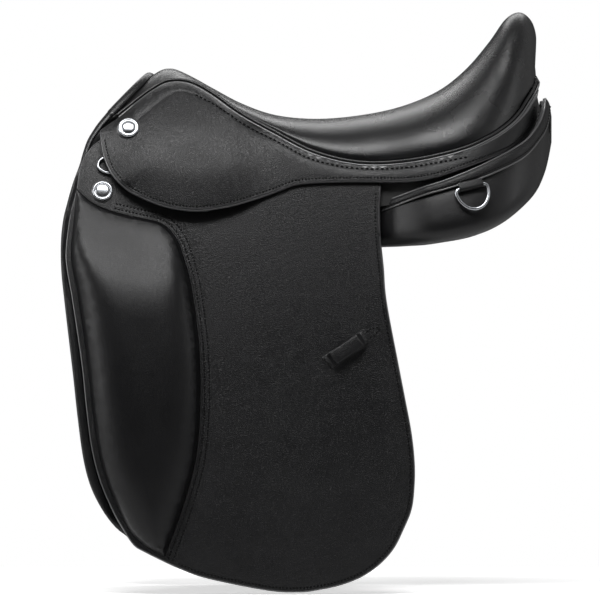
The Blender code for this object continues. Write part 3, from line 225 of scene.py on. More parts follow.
# A flat cut: triangles that fill a side-view outline, finer beside its edge and its stitch lines
def cutSheet(outline, spacing, edgeSteps, lines=(), bend=None):
    rim = np.asarray(outline, float)
    points = [Vector(p) for p in rim]
    edges = [(k, (k + 1) % len(rim)) for k in range(len(rim))]
    extra = []
    run = np.roll(rim, -1, axis=0) - np.roll(rim, 1, axis=0)
    inward = np.stack([-run[:, 1], run[:, 0]], -1) / np.linalg.norm(run, axis=1)[:, None]
    if not insideOf(rim, (rim + inward * 0.5)).mean() > 0.5:
        inward = -inward
    for step in edgeSteps:
        ring = rim + inward * step
        good = insideOf(rim, ring) & (distanceTo(rim, ring, True) > cutting["ringKeep"] * step)
        extra.append(ring[good])
    for line, offsets in lines:
        for offset in offsets:
            row = insetLine(line, offset)
            good = insideOf(rim, row) & (distanceTo(rim, row, True) > cutting["rowClear"])
            extra.append(row[good])
    if bend is not None:
        ends = np.array(bend, float)
        count = int(np.linalg.norm(ends[1] - ends[0]) / (cutting["bendStep"] * spacing))
        row = ends[0] + (ends[1] - ends[0]) * np.linspace(0, 1, count)[:, None]
        good = insideOf(rim, row) & (distanceTo(rim, row, True) > cutting["bendClear"])
        first = len(points)
        row = row[good]
        points += [Vector(p) for p in row]
        edges += [(first + k, first + k + 1) for k in range(len(row) - 1)]
    low, high = rim.min(0), rim.max(0)
    rowStep = spacing * math.sqrt(3) / 2
    grid = np.array([(low[0] + (c + 0.5 * (r % 2)) * spacing, low[1] + r * rowStep)
                     for r in range(1, int((high[1] - low[1]) / rowStep) + 1)
                     for c in range(int((high[0] - low[0]) / spacing) + 2)])
    clear = max(edgeSteps, default=0) + cutting["gridClear"] * spacing
    keep = insideOf(rim, grid) & (distanceTo(rim, grid, True) > clear)
    for line, offsets in lines:
        keep &= distanceTo(line, grid) > max(abs(o) for o in offsets) + cutting["lineClear"] * spacing
    extra.append(grid[keep])
    inner = np.concatenate(extra)
    if bend is not None:
        inner = inner[distanceTo(np.array(bend, float), inner) > cutting["bendKeep"]]
    inner = inner[np.lexsort((inner[:, 1], inner[:, 0]))]
    chosen, cells, merge = [], {}, cutting["merge"]
    for p in inner:    # drops points that lie too close to one already kept
        key = (int(p[0] // merge), int(p[1] // merge))
        near = [q for i in (-1, 0, 1) for j in (-1, 0, 1) for q in cells.get((key[0] + i, key[1] + j), ())]
        if all((q[0] - p[0]) ** 2 + (q[1] - p[1]) ** 2 > merge**2 for q in near):
            cells.setdefault(key, []).append(p)
            chosen.append(p)
    points += [Vector(p) for p in chosen]
    found = delaunay_2d_cdt(points, edges, [], 0, 1e-6, False)
    flat = np.array([tuple(p) for p in found[0]])
    faces = np.array([f for f in found[2] if len(f) == 3])
    faces = faces[insideOf(rim, flat[faces].mean(1))]
    area = np.cross(flat[faces[:, 1]] - flat[faces[:, 0]], flat[faces[:, 2]] - flat[faces[:, 0]])
    return flat, faces[np.abs(area) > cutting["smallest"]], rim


def sheetNormals(flat, faces, outer, side):    # outward normals of the whole uncut sheet
    points = sidePoints(flat[:, 0], flat[:, 1], outer, side)
    a, b, c = (points[faces[:, k]] for k in range(3))
    square = np.cross(b - a, c - a)
    square *= np.sign(square[:, 1] * side)[:, None]
    normals = np.zeros_like(points)
    for k in range(3):
        np.add.at(normals, faces[:, k], square)
    return normals / np.maximum(np.linalg.norm(normals, axis=1), 1e-9)[:, None]


paintedHighlightRim = 1.05    # how far in from its rim a cut edge gets the lighter edge paint, a painted highlight along the rim


def sheetBody(name, flat, faces, inner, outer, side, materials, sharp=40, normals=None, depth=None):
    used = np.unique(faces)
    renumber = np.full(len(flat), -1)
    renumber[used] = np.arange(len(used))
    faces = renumber[faces]
    painted = np.zeros(len(faces), int)
    if depth is not None:    # the rounded rim is painted like the cut edge, in a lighter tone that is a painted highlight
        painted = (depth[used][faces].mean(1) < paintedHighlightRim).astype(int)
    flat, inner, outer = flat[used], np.broadcast_to(inner, len(flat))[used], outer[used]
    count = len(flat)
    low = sidePoints(flat[:, 0], flat[:, 1], inner, side)
    high = sidePoints(flat[:, 0], flat[:, 1], outer, side)
    directed = {(int(a), int(b)) for f in faces for a, b in zip(f, np.roll(f, -1))}
    rim = sorted(e for e in directed if e[::-1] not in directed)
    allFaces = [tuple(f + count) for f in faces] + [tuple(f[::-1]) for f in faces]
    allFaces += [(a, b, b + count, a + count) for a, b in rim]
    slots = [*painted] + [min(2, len(materials) - 1)] * len(faces)
    slots += [min(1, len(materials) - 1)] * len(rim)
    item = addObject(name, np.concatenate([low, high]), allFaces, materials, slots, sharp)
    if normals is not None:    # two parts of one cut sheet shade as one surface
        wanted = np.zeros((len(item.data.loops), 3))
        for face in item.data.polygons[:len(faces)]:
            for loop in face.loop_indices:
                wanted[loop] = normals[used[item.data.loops[loop].vertex_index - count]]
        item.data.normals_split_custom_set([tuple(n) for n in wanted])
    return item


print("materials")


def linearColour(hexCode):    # sRGB hex to the linear values that the shader takes
    channels = [int(hexCode[k:k + 2], 16) / 255 for k in (1, 3, 5)]
    return (*(c / 12.92 if c <= 0.04045 else ((c + 0.055) / 1.055) ** 2.4 for c in channels), 1)


def fillNode(tree, node, inputs=(), links=()):    # values and sources for a node's inputs
    for key, value in dict(inputs).items():
        node.inputs[key].default_value = value
    for key, source in dict(links).items():
        tree.links.new(source, node.inputs[key])
    return node


def addNode(tree, kind, settings=(), inputs=(), links=()):
    node = tree.nodes.new(kind)
    for name, value in dict(settings).items():
        setattr(node, name, value)
    return fillNode(tree, node, inputs, links)


def newMaterial(name):
    material = bpy.data.materials.new(name)
    material.use_nodes = True
    tree = material.node_tree
    place = addNode(tree, "ShaderNodeTexCoord").outputs["Object"]
    return material, tree, tree.nodes["Principled BSDF"], {"Vector": place}


def mixTones(tree, shader, factor, tones):    # two colours, mixed by a texture
    mixed = addNode(tree, "ShaderNodeMix", {"data_type": "RGBA"},
                    {"A": linearColour(tones[0]), "B": linearColour(tones[1])}, {"Factor": factor})
    fillNode(tree, shader, (), {"Base Color": mixed.outputs["Result"]})


def mapGloss(tree, shader, source, values, rough):    # roughness that follows a texture
    gloss = addNode(tree, "ShaderNodeMapRange", (), dict(zip(
        ("From Min", "From Max", "To Min", "To Max"), (*values, *rough))), {"Value": source})
    fillNode(tree, shader, (), {"Roughness": gloss.outputs["Result"]})


def addBump(tree, shader, strength, distance, height):    # distance in mm
    bump = addNode(tree, "ShaderNodeBump", (), {"Strength": strength, "Distance": distance * mil},
                   {"Height": height})
    fillNode(tree, shader, (), {"Normal": bump.outputs["Normal"]})


def leatherMaterial(name, tones, roughness, grainMm, depth, coat, level):    # pebbles over fine pores
    material, tree, shader, place = newMaterial(name)
    pebbles = addNode(tree, "ShaderNodeTexVoronoi", {"feature": "DISTANCE_TO_EDGE"},
                      {"Scale": 1000 / grainMm, "Randomness": 1.0}, place)
    creases = addNode(tree, "ShaderNodeMapRange", {"interpolation_type": "SMOOTHSTEP"},
                      {"From Min": 0.0, "From Max": 0.22}, {"Value": pebbles.outputs["Distance"]})
    pores = addNode(tree, "ShaderNodeTexNoise", (), {"Scale": 2600.0, "Detail": 2.0}, place)
    clouds = addNode(tree, "ShaderNodeTexNoise", (),
                     {"Scale": 14.0, "Detail": 4.0, "Roughness": 0.55}, place)
    mixTones(tree, shader, clouds.outputs["Fac"], tones)
    mapGloss(tree, shader, clouds.outputs["Fac"], (0.3, 0.7), (roughness - 0.05, roughness + 0.06))
    fine = addNode(tree, "ShaderNodeMath", {"operation": "MULTIPLY_ADD"}, {1: 0.35},
                   {0: pores.outputs["Fac"], 2: creases.outputs["Result"]})
    addBump(tree, shader, 1.0, depth, fine.outputs["Value"])
    fillNode(tree, shader, {"IOR": 1.48, "Specular IOR Level": level, "Coat Weight": coat,
                            "Coat Roughness": 0.28})
    return material


def metalMaterial(name, colour, roughness, scratch):
    material, tree, shader, place = newMaterial(name)
    rubs = addNode(tree, "ShaderNodeTexNoise", (), {"Scale": 900.0, "Detail": 3.0}, place)
    mapGloss(tree, shader, rubs.outputs["Fac"], (0.35, 0.75), (roughness, roughness + scratch))
    fillNode(tree, shader, {"Base Color": linearColour(colour), "Metallic": 1.0})
    return material


# Full-grain cowhide, embossed and drum-dyed black: small pebbles, a soft sheen on the flaps
flapLeather = leatherMaterial("grainedCowhide", ("#0b0b0c", "#111112"), 0.33, 1.6, 0.11, 0.0, 0.22)
# Softer calf leather, blocked over the seat: finer grain and a higher polish
seatLeather = leatherMaterial("blockedCalfLeather", ("#070708", "#0b0b0c"), 0.27, 1.1, 0.05, 0.05, 0.3)
# The same calf leather pulled over the knee block
blockLeather = leatherMaterial("paddedCalfLeather", ("#070708", "#0b0b0c"), 0.32, 1.2, 0.06, 0.03, 0.17)
# Panel hide, soft and a little glossier where it is stuffed
panelLeather = leatherMaterial("panelHide", ("#0a0a0b", "#0f0f10"), 0.32, 1.3, 0.06, 0.03, 0.27)
# Cut edges, sanded and painted black: smooth and satin; the tone is drawn lighter than the leather, as a
# painted highlight along every rim and cord that wears it
edgePaintWithPaintedHighlight = leatherMaterial("edgePaintLightenedAsHighlight", ("#2a2a2b", "#333334"), 0.30, 0.6, 0.02, 0.2, 0.7)
# Flesh side and lining: matt, with a short nap
liningLeather = leatherMaterial("fleshSideLeather", ("#101010", "#161616"), 0.74, 0.7, 0.06, 0.0, 0.3)
# Chrome plate on brass, polished: bright with faint rubbing
chromePlate = metalMaterial("polishedChromePlate", "#8e9093", 0.19, 0.10)
# Forged and blued spring steel: dull, with mill marks
bluedSteel = metalMaterial("bluedSpringSteel", "#5d6166", 0.36, 0.16)
# A cut sheet's materials: its outer face, its cut edge and its inner face
flapSkin = [flapLeather, edgePaintWithPaintedHighlight, liningLeather]
blockSkin = [blockLeather, edgePaintWithPaintedHighlight, liningLeather]
panelSkin = [panelLeather, edgePaintWithPaintedHighlight, liningLeather]


def threadMaterial():    # bonded polyester thread: a fine noise stands for the ridges of its plies
    material, tree, shader, place = newMaterial("bondedPolyesterThread")
    plies = addNode(tree, "ShaderNodeTexNoise", (), {"Scale": 1800.0}, place)
    addBump(tree, shader, 0.5, 0.05, plies.outputs["Fac"])
    fillNode(tree, shader, {"Base Color": linearColour("#030303"), "Roughness": 0.8,
                            "Specular IOR Level": 0.1})
    return material


def webMaterial():    # woven black webbing with a 2 mm thread, drawn at its own size
    material, tree, shader, place = newMaterial("wovenBlackWebbing")
    warp, weft = (addNode(tree, "ShaderNodeTexWave", {"bands_direction": direction},
                          {"Scale": 155.0, "Distortion": 0.6}, place).outputs["Fac"]
                  for direction in ("X", "Y"))
    weave = addNode(tree, "ShaderNodeMath", {"operation": "MAXIMUM"}, (), {0: warp, 1: weft})
    addBump(tree, shader, 0.8, 0.4, weave.outputs["Value"])
    mixTones(tree, shader, weave.outputs["Value"], ("#1b1a19", "#2a2927"))
    fillNode(tree, shader, {"Roughness": 0.85})
    return material


def treeMaterial():    # beech plies under black varnish: long grain bands about 3 mm apart
    material, tree, shader, place = newMaterial("varnishedBeech")
    bands = addNode(tree, "ShaderNodeTexWave", {"bands_direction": "Z"},
                    {"Scale": 100.0, "Distortion": 3.0, "Detail": 3.0}, place)
    mixTones(tree, shader, bands.outputs["Fac"], ("#161311", "#221c18"))
    fillNode(tree, shader, {"Roughness": 0.5})
    return material


thread = threadMaterial()
webbing = webMaterial()
beech = treeMaterial()


print("stitch tree")
stitch = {    # pitch, length and width of two kinds, then their grooves and how far they stand out
    "edge": (3.6, 2.1, 1.5), "band": (5.2, 3.4, 1.8), "sunk": 0.2, "bandSunk": 0.6,
    "groove": 1.2, "bandGroove": 1.6, "proud": 0.3, "clear": 0.2,
}
stitchSizes = ("Pitch", "Stitch length", "Stitch width")


def stitchTree():    # a row of stitches along an edge-only mesh
    tree = bpy.data.node_groups.new("stitchRow", "GeometryNodeTree")
    tree.interface.new_socket("Geometry", in_out="OUTPUT", socket_type="NodeSocketGeometry")
    tree.interface.new_socket("Geometry", in_out="INPUT", socket_type="NodeSocketGeometry")
    for name in stitchSizes:
        tree.interface.new_socket(name, in_out="INPUT", socket_type="NodeSocketFloat")
    given = tree.nodes.new("NodeGroupInput")
    made = tree.nodes.new("NodeGroupOutput")
    row = addNode(tree, "GeometryNodeMeshToCurve", (), (), {"Mesh": given.outputs["Geometry"]})
    marks = addNode(tree, "GeometryNodeResampleCurve", {"mode": "LENGTH"}, (),
                    {"Curve": row.outputs["Curve"], "Length": given.outputs["Pitch"]})
    ball = addNode(tree, "GeometryNodeMeshUVSphere", (), {"Segments": 6, "Rings": 5, "Radius": 0.5})
    size = addNode(tree, "ShaderNodeCombineXYZ", (), (),
                   {"X": given.outputs["Stitch width"], "Y": given.outputs["Stitch width"],
                    "Z": given.outputs["Stitch length"]})
    run = addNode(tree, "GeometryNodeInputTangent")
    turn = addNode(tree, "FunctionNodeAlignRotationToVector", {"axis": "Z"}, (),
                   {"Vector": run.outputs["Tangent"]})
    placed = addNode(tree, "GeometryNodeInstanceOnPoints", (), (),
                     {"Points": marks.outputs["Curve"], "Instance": ball.outputs["Mesh"],
                      "Rotation": turn.outputs["Rotation"], "Scale": size.outputs["Vector"]})
    real = addNode(tree, "GeometryNodeRealizeInstances", (), (),
                   {"Geometry": placed.outputs["Instances"]})
    dyed = addNode(tree, "GeometryNodeSetMaterial", (), {"Material": thread},
                   {"Geometry": real.outputs["Geometry"]})
    tree.links.new(dyed.outputs["Geometry"], made.inputs["Geometry"])
    return tree


stitchNodes = stitchTree()


def stitchRows(name, rows, kind="edge"):    # rows of points in mm; returns one plain mesh object
    points, edges = [], []
    for row in rows:
        first = len(points)
        points += [tuple(p) for p in np.asarray(row) * mil]
        edges += [(first + k, first + k + 1) for k in range(len(row) - 1)]
    mesh = bpy.data.meshes.new(name + "Line")
    mesh.from_pydata(points, edges, [])
    carrier = bpy.data.objects.new(name, mesh)
    bpy.context.scene.collection.objects.link(carrier)
    modifier = carrier.modifiers.new("stitches", "NODES")
    modifier.node_group = stitchNodes
    wanted = dict(zip(stitchSizes, stitch[kind]))
    for item in stitchNodes.interface.items_tree:
        if item.in_out == "INPUT" and item.name in wanted:
            modifier[item.identifier] = wanted[item.name] * mil
    view = bpy.context.evaluated_depsgraph_get()
    plain = bpy.data.meshes.new_from_object(carrier.evaluated_get(view), depsgraph=view)
    carrier.modifiers.remove(modifier)
    carrier.data = plain
    plain.name = name
    plain.shade_smooth()
    return carrier


print("seat")
seatCentre = [
    (-153.3, 114.7), (-147.5, 117.8), (-141, 119.6), (-131, 118.5), (-114, 110.7),
    (-92, 98.5), (-62, 82.6), (-27, 70.4), (15, 66.2), (60, 69.5), (105, 78.6),
    (145, 95), (175, 118), (200, 147), (218, 172), (233, 179.3), (245, 171),
    (250.5, 155), (249.6, 138), (248, 124),
]
seatEdge = [
    (-194.5, 67.5), (-177, 82), (-158, 96.5), (-140, 105.8), (-117, 105.2),
    (-92, 92.5), (-62, 71), (-27, 51.5), (15, 30), (63, 18.8), (115, 20.8),
    (165, 31.5), (197, 45), (218, 59.5), (230, 72), (238, 84.5), (243.5, 93),
    (246.5, 98.5), (248, 102), (248.6, 105),
]
seat = {"rows": 120, "columns": 36, "leather": 2.4, "pull": 0.9, "pullWidth": 4.5, "weltGap": 2.3,
        "upperCord": (0.2, 0.5), "upperRadius": 1.75, "lowerCord": (3.5, 0.9), "lowerRadius": 1.35,
        "cordStep": 2.2, "rollRadius": 4.6, "rollOut": 5.6, "rollFlat": 0.62}
lastStation = len(seatEdge) - 1


def seatPoints(u, angle):    # station numbers and degrees from the centre line
    u, angle = np.broadcast_arrays(np.asarray(u, float), np.asarray(angle, float))
    shape = u.shape
    centre = curveAt(seatCentre, u.ravel()).reshape(*shape, 2)
    edge = curveAt(seatEdge, u.ravel()).reshape(*shape, 2)
    swing = np.sin(np.radians(np.abs(angle)))
    fullness = 2.0 + 0.6 * ease(2, 8, u) - 0.4 * ease(11, 15, u)
    rounded = np.sqrt(np.maximum(1 - swing**fullness, 0))
    sloping = 1 - swing**2.2
    share = np.maximum(1 - ease(3, 6.5, u), ease(15, 17.5, u))
    height = rounded + (sloping - rounded) * share
    flat = edge + (centre - edge) * height[..., None]
    y = np.sign(angle) * halfWidth(edge[..., 0], edge[..., 1]) * swing
    return np.stack([flat[..., 0], y, flat[..., 1]], -1)


def seatLimit(u):    # the angle at which the cover meets the welt
    edge = curveAt(seatEdge, u)
    corner = np.stack([edge[:, 0], halfWidth(edge[:, 0], edge[:, 1]), edge[:, 1]], -1)
    low, high = np.full(len(u), 40.0), np.full(len(u), 90.0)
    for _ in range(18):
        middle = (low + high) / 2
        near = np.linalg.norm(seatPoints(u, middle) - corner, axis=1) < seat["weltGap"]
        low, high = np.where(near, low, middle), np.where(near, middle, high)
    return low


def gridNormals(grid):
    along, across = np.gradient(grid, axis=0), np.gradient(grid, axis=1)
    normal = np.cross(along, across)
    return normal / np.maximum(np.linalg.norm(normal, axis=2), 1e-9)[..., None]


def makeSeat():
    u = np.linspace(0, lastStation, seat["rows"])
    limit = seatLimit(u)
    share = np.linspace(-1, 1, 2 * seat["columns"] + 1)
    share = np.sign(share) * (1 - (1 - np.abs(share)) ** 1.15)
    grid = seatPoints(u[:, None], limit[:, None] * share[None])
    normal = gridNormals(grid)
    if normal[seat["rows"] // 2, seat["columns"], 2] < 0:
        normal = -normal
    # the leather pulls in a little above the welt
    rim = (1 - np.abs(share))[None] * np.radians(limit)[:, None] * 90
    pulled = -seat["pull"] * np.exp(-(rim / seat["pullWidth"]) ** 2)
    upper = grid + normal * pulled[..., None]
    lower = upper - normal * seat["leather"]
    cover = gridSheet("seatLeatherCover", upper, lower, [seatLeather, edgePaintWithPaintedHighlight])
    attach(cover, root)
    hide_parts("seat_cover", "seat_foam")


def weltLine(drop, out):    # round the seat from the left corner to the right one
    flat = insetLine(curveAt(seatEdge, np.linspace(0.0, lastStation, 150)), -drop)
    side = sidePoints(flat[:, 0], flat[:, 1], np.full(len(flat), out), 1)
    angle = np.linspace(82, 0, 24)
    end = seatPoints(np.full(24, lastStation), angle)
    away = end - seatPoints(np.full(24, lastStation - 0.3), angle)
    away /= np.linalg.norm(away, axis=1)[:, None]
    half = np.concatenate([side, end + away * (seat["leather"] + drop)])
    whole = np.concatenate([half, half[-2::-1] * (1, -1, 1)])
    keep = [0]
    for k in range(1, len(whole)):
        if np.linalg.norm(whole[k] - whole[keep[-1]]) > seat["cordStep"]:
            keep.append(k)
    return whole[keep]


def makeWelt():    # two cords of piping, one above the other
    upper = tubeBody("seatPiping", weltLine(*seat["upperCord"]), seat["upperRadius"], [seatLeather], 10)
    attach(upper, root)
    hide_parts("seat_welt")
    # the lower cord wears the lighter edge paint: a painted highlight along the piping
    lower = tubeBody("skirtPiping", weltLine(*seat["lowerCord"]), seat["lowerRadius"], [edgePaintWithPaintedHighlight], 10)
    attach(lower, root)


def makePommelRoll():    # folded band of leather along the pommel's front
    share = np.linspace(0, 1, 40)
    arch = seatPoints(np.zeros(40), share * 90)
    lean = np.stack([-0.90 + 0.13 * share, 0 * share, -0.43 + 1.07 * share], -1)
    lean /= np.linalg.norm(lean, axis=1)[:, None]
    arch = arch + lean * seat["rollOut"]
    foot = trace([(-198.8, 71.1), (-204.5, 64.8), (-210.5, 58), (-216.3, 50), (-221, 42.5),
                  (-224.8, 33), (-228, 20)], 3)
    foot = sidePoints(foot[:, 0], foot[:, 1], np.linspace(0.4, -3.2, len(foot)), 1)[1:]
    half = np.concatenate([arch, foot])
    line = np.concatenate([half[:0:-1] * (1, -1, 1), half])
    low = np.linspace(1, 0.5, len(foot))
    size = seat["rollRadius"] * np.concatenate([low[::-1], np.ones(len(line) - 2 * len(foot)), low])
    size[:2] *= (0.5, 0.8)
    size[-2:] *= (0.8, 0.5)
    roll = tubeBody("pommelRoll", line, size, [seatLeather], 18, False, (0.6, 0, 0.8), seat["rollFlat"])
    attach(roll, root)
    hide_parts("pommel_roll")


makeSeat()
makeWelt()
makePommelRoll()


print("skirts")
skirtEdge = [
    (-210.5, 48.4), (-209.6, 36.3), (-205.5, 18.3), (-196.5, 0.2), (-182.4, -13.9),
    (-164.3, -23.9), (-144.3, -31.9), (-124.2, -36), (-104.1, -37), (-84, -34),
    (-63.9, -29), (-23.7, -13.9), (0, -5.9), (50.2, -3.5), (110.5, -3.5),
    (140.6, 0.5), (170.7, 10.2), (200.9, 22.3), (220.9, 32.3), (237.1, 48.4),
    (244.5, 62), (247.5, 76), (247.5, 88),
]
skirtBand = [
    (-169.4, 59.4), (-154.4, 71.5), (-140.3, 82.5), (-128.2, 88.5), (-114.1, 86.5), (-94.1, 77.5),
    (-73.9, 65.4), (-53.9, 53.4), (-33.8, 44.4), (-13.7, 34.3), (0, 26.3), (20.1, 18.3),
    (50.2, 12.2), (80.3, 10.6), (110.5, 11.9), (140.6, 16.3), (172.7, 22.3),
]
skirt = {
    "leather": 3.0, "lift": 2.0, "frontLift": 7.5, "edgeShare": 0.72, "edgeLift": 1.6,
    "edgeReach": 40, "sink": 1.2, "roll": 16, "bulge": 9.5, "bulgeRadius": 96,
    "barMiddle": (-119, 5), "ring": (-191, 16), "bend": ((-208, 40), (10, 5)), "bendReach": (-9, 9),
    "belowWelt": 4.2, "stitchInset": 4.6, "bandStart": -108, "fullness": 0.8,
}


def heightOf(points):
    fine = curveAt(points, np.linspace(0, len(points) - 1, 20 * len(points)))
    order = np.argsort(fine[:, 0])
    return lambda x: np.interp(x, fine[order, 0], fine[order, 1])


weltHeight = heightOf(seatEdge)
skirtLow = heightOf(skirtEdge[2:])


def skirtInner(x, z):    # the skirt's inner face: raised over the stirrup bar, down at its edges
    s = skirt
    lift = s["lift"] + (s["frontLift"] - s["lift"]) * ease(-20, -80, x)
    reach = np.hypot(x - s["barMiddle"][0], z - s["barMiddle"][1])
    lift = lift + s["bulge"] * ease(s["bulgeRadius"], 0.3 * s["bulgeRadius"], reach)
    ring = np.hypot(x - s["ring"][0], z - s["ring"][1])
    edge = np.minimum(ease(0, s["edgeReach"], z - skirtLow(x)) + ease(34, 20, ring), 1)
    low = s["edgeLift"] + s["edgeShare"] * (lift - s["edgeLift"])
    lift = low + (lift - low) * edge
    top = ease(0, s["roll"], weltHeight(x) - z)
    return -s["sink"] + (lift + s["sink"]) * top


def edgeRound(depth, radius, drop):    # how far a cut edge is sanded down near its rim
    t = np.clip(1 - depth / radius, 0, 1)
    return -drop * (1 - np.sqrt(np.maximum(1 - t * t, 0)))


def groove(points, line, deep, wide):
    return -deep * np.exp(-(distanceTo(line, points) / wide) ** 2)


# A piece that lies across a bend line: the hinge is worked out, but the piece only has its placement baked
# into its mesh and is attached to no body
def bendAcross(piece, line, lifts, side):
    hinge = sidePoints([p[0] for p in line], [p[1] for p in line], np.array(lifts, float), side)
    middle = hinge.mean(0)
    along = (hinge[1] - hinge[0]) / np.linalg.norm(hinge[1] - hinge[0])
    foot, tip = (sidePoints([middle[0]], [middle[2]], [lift], side)[0] for lift in (0.0, 1.0))
    down = np.cross(along, tip - foot)
    down *= -np.sign(down[2]) / np.linalg.norm(down)
    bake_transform(piece)


def makeSkirts():
    top = insetLine(curveAt(seatEdge, np.linspace(0.05, lastStation - 2, 90)), -skirt["belowWelt"])
    outline = np.concatenate([top, trace(skirtEdge, 3.6)[::-1]])
    edge = insetLine(trace(skirtEdge[1:-1], 3.0), skirt["stitchInset"])
    band = trace(skirtBand, 3.0)
    lines = [(edge, (-1.3, 0, 1.3)), (band, (-2.6, -1.3, 0, 1.3, 2.6))]
    flat, faces, rim = cutSheet(outline, 7.5, (0.45, 1.2, 2.4), lines)
    depth = distanceTo(rim, flat, True)
    inner = skirtInner(flat[:, 0], flat[:, 1])
    outer = inner + skirt["leather"] + edgeRound(depth, 1.3, 1.0)
    outer = outer + groove(flat, edge, stitch["sunk"], stitch["groove"])
    outer = outer + groove(flat, band, stitch["bandSunk"], stitch["bandGroove"])
    above = flat[:, 1] > bandHeight(flat[:, 0])
    full = skirt["fullness"] * ease(0.5, 9, distanceTo(band, flat)) * above * (flat[:, 0] > -175)
    outer = outer + full * ease(178, 150, flat[:, 0])
    lifts = (skirt["frontLift"], skirt["lift"])
    rows = (("edge", edge, stitch["sunk"]),
            ("band", band[band[:, 0] > skirt["bandStart"]], stitch["bandSunk"]))
    for side, word in sides:
        cover = sheetBody(f"skirtLeather_{word}", flat, faces, inner, outer, side, flapSkin, depth=depth)
        seams = []
        for kind, line, deep in rows:
            x, z = line[:, 0], line[:, 1]
            lift = skirtInner(x, z) + skirt["leather"] - deep + stitch["proud"] + stitch["clear"]
            seams.append(stitchRows(f"skirtStitches_{kind}_{word}", [sidePoints(x, z, lift, side)], kind))
        for piece in (cover, *seams):
            bendAcross(piece, skirt["bend"], lifts, side)
        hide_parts(f"skirt_{word}", f"skirt_belly_{word}")


bandHeight = heightOf(skirtBand)
makeSkirts()


print("flaps")
flapEdge = [
    (84.3, -15), (83.4, -31.9), (84.3, -62.1), (87.4, -92.2), (90.4, -126), (102.5, -190.3),
    (109.5, -226.5), (116.6, -264.6), (119.9, -296.7), (119.5, -322.9), (116.6, -344.9),
    (108.5, -365.1), (98.4, -385.1), (84.3, -401.2), (66.3, -414.2), (44.2, -423.3), (20.1, -428.7),
    (0, -431.1), (-33.8, -429.3), (-94.1, -417.3), (-124.2, -407.2), (-162.3, -389.1),
    (-174.4, -381.2), (-186.5, -363), (-196.5, -344.9), (-208.5, -316.8), (-217.6, -282.7),
    (-223.7, -238.5), (-228.6, -192.3), (-238.7, -126), (-244.7, -92.2), (-245.7, -72.1),
    (-241.5, -36.8), (-234.7, -8.4), (-231, 15.8), (-222, 33), (-211, 43), (-202, 47),
]
flapHidden = [(-202, 47), (-190, 48), (-178, 42), (-168, 20), (-162, -2), (-155, -12), (-120, -13),
              (-80, -13), (-55, -6), (-30, 5), (0, 9), (50, 8), (78, 3), (84.3, -5), (84.3, -15)]
blockSeam = [
    (-234.7, -9.9), (-218.6, -23.9), (-194.5, -34), (-164.3, -41.1), (-150.3, -44), (-138.2, -51),
    (-128.2, -64.2), (-122.1, -80.2), (-116.1, -100.3), (-112.1, -120.3), (-106.1, -166.2),
    (-104.1, -202.3), (-104.1, -238.5), (-106.1, -270.6), (-110.1, -298.7), (-118.1, -328.9),
    (-127.2, -357), (-136.2, -381.2), (-141, -394),
]
blockFront = [
    (-160, -385), (-176, -370), (-190, -344), (-202, -316), (-211, -282), (-217.5, -238),
    (-222.5, -192), (-232, -126), (-238.5, -92), (-240, -72), (-237.5, -44), (-234.7, -9.9),
]
sweatEdge = [
    (70, -66), (75, -120), (90, -230), (98, -310), (88, -355), (60, -385), (20, -400),
    (-60, -405), (-150, -392), (-182.4, -371.1), (-194.5, -361), (-206.5, -344.9),
    (-218.6, -320.9), (-226.6, -290.7), (-232.7, -246.5), (-237.6, -202.3),
    (-246.8, -126), (-250.3, -92.2), (-250.7, -62.1), (-248.5, -40), (-245.3, -26),
    (-239.9, -5.5), (-231.9, 18.7), (-225.9, 38.5), (-218.5, 50.8), (-201.1, 69.5), (-192, 80),
]
sweatHidden = [(-192, 80), (-182, 76), (-174, 50), (-186, 8), (-204, -20)]
flap = {"leather": 4.0, "stitchInset": 4.6, "bend": ((-245, -32), (89, -60)), "bendReach": (-1, 32),
        "sweatInner": -14.7, "sweatOuter": -11.7, "sweatRoll": 16}
block = {"crown": 32, "shoulder": 46, "rise": 0.29, "head": 6.0, "headFall": 26, "soft": 6.0,
         "foot": 0.3, "edge": 3.2, "edgeWidth": 7.0, "cordInset": 0.6, "cordLift": 0.55, "cordRadius": 1.15}


def bendHeight(x):
    (x0, z0), (x1, z1) = flap["bend"]
    return z0 + (np.asarray(x, float) - x0) * (z1 - z0) / (x1 - x0)


def splitFaces(flat, faces):    # faces above and below the flap's bend line
    above = flat[faces][..., 1].mean(1) > bendHeight(flat[faces][..., 0].mean(1))
    return faces[above], faces[~above]


def splitLine(line):    # the same for a line of stitches or cord
    above = line[:, 1] > bendHeight(line[:, 0])
    return ("head", line[above]), ("low", line[~above])


def hangFlap(piece, end, side):    # the head is fixed to the seat and tree; the rest only has its placement baked in and is attached to no body
    if end == "head":
        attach(piece, root)
    else:
        bendAcross(piece, flap["bend"], (0, 0), side)


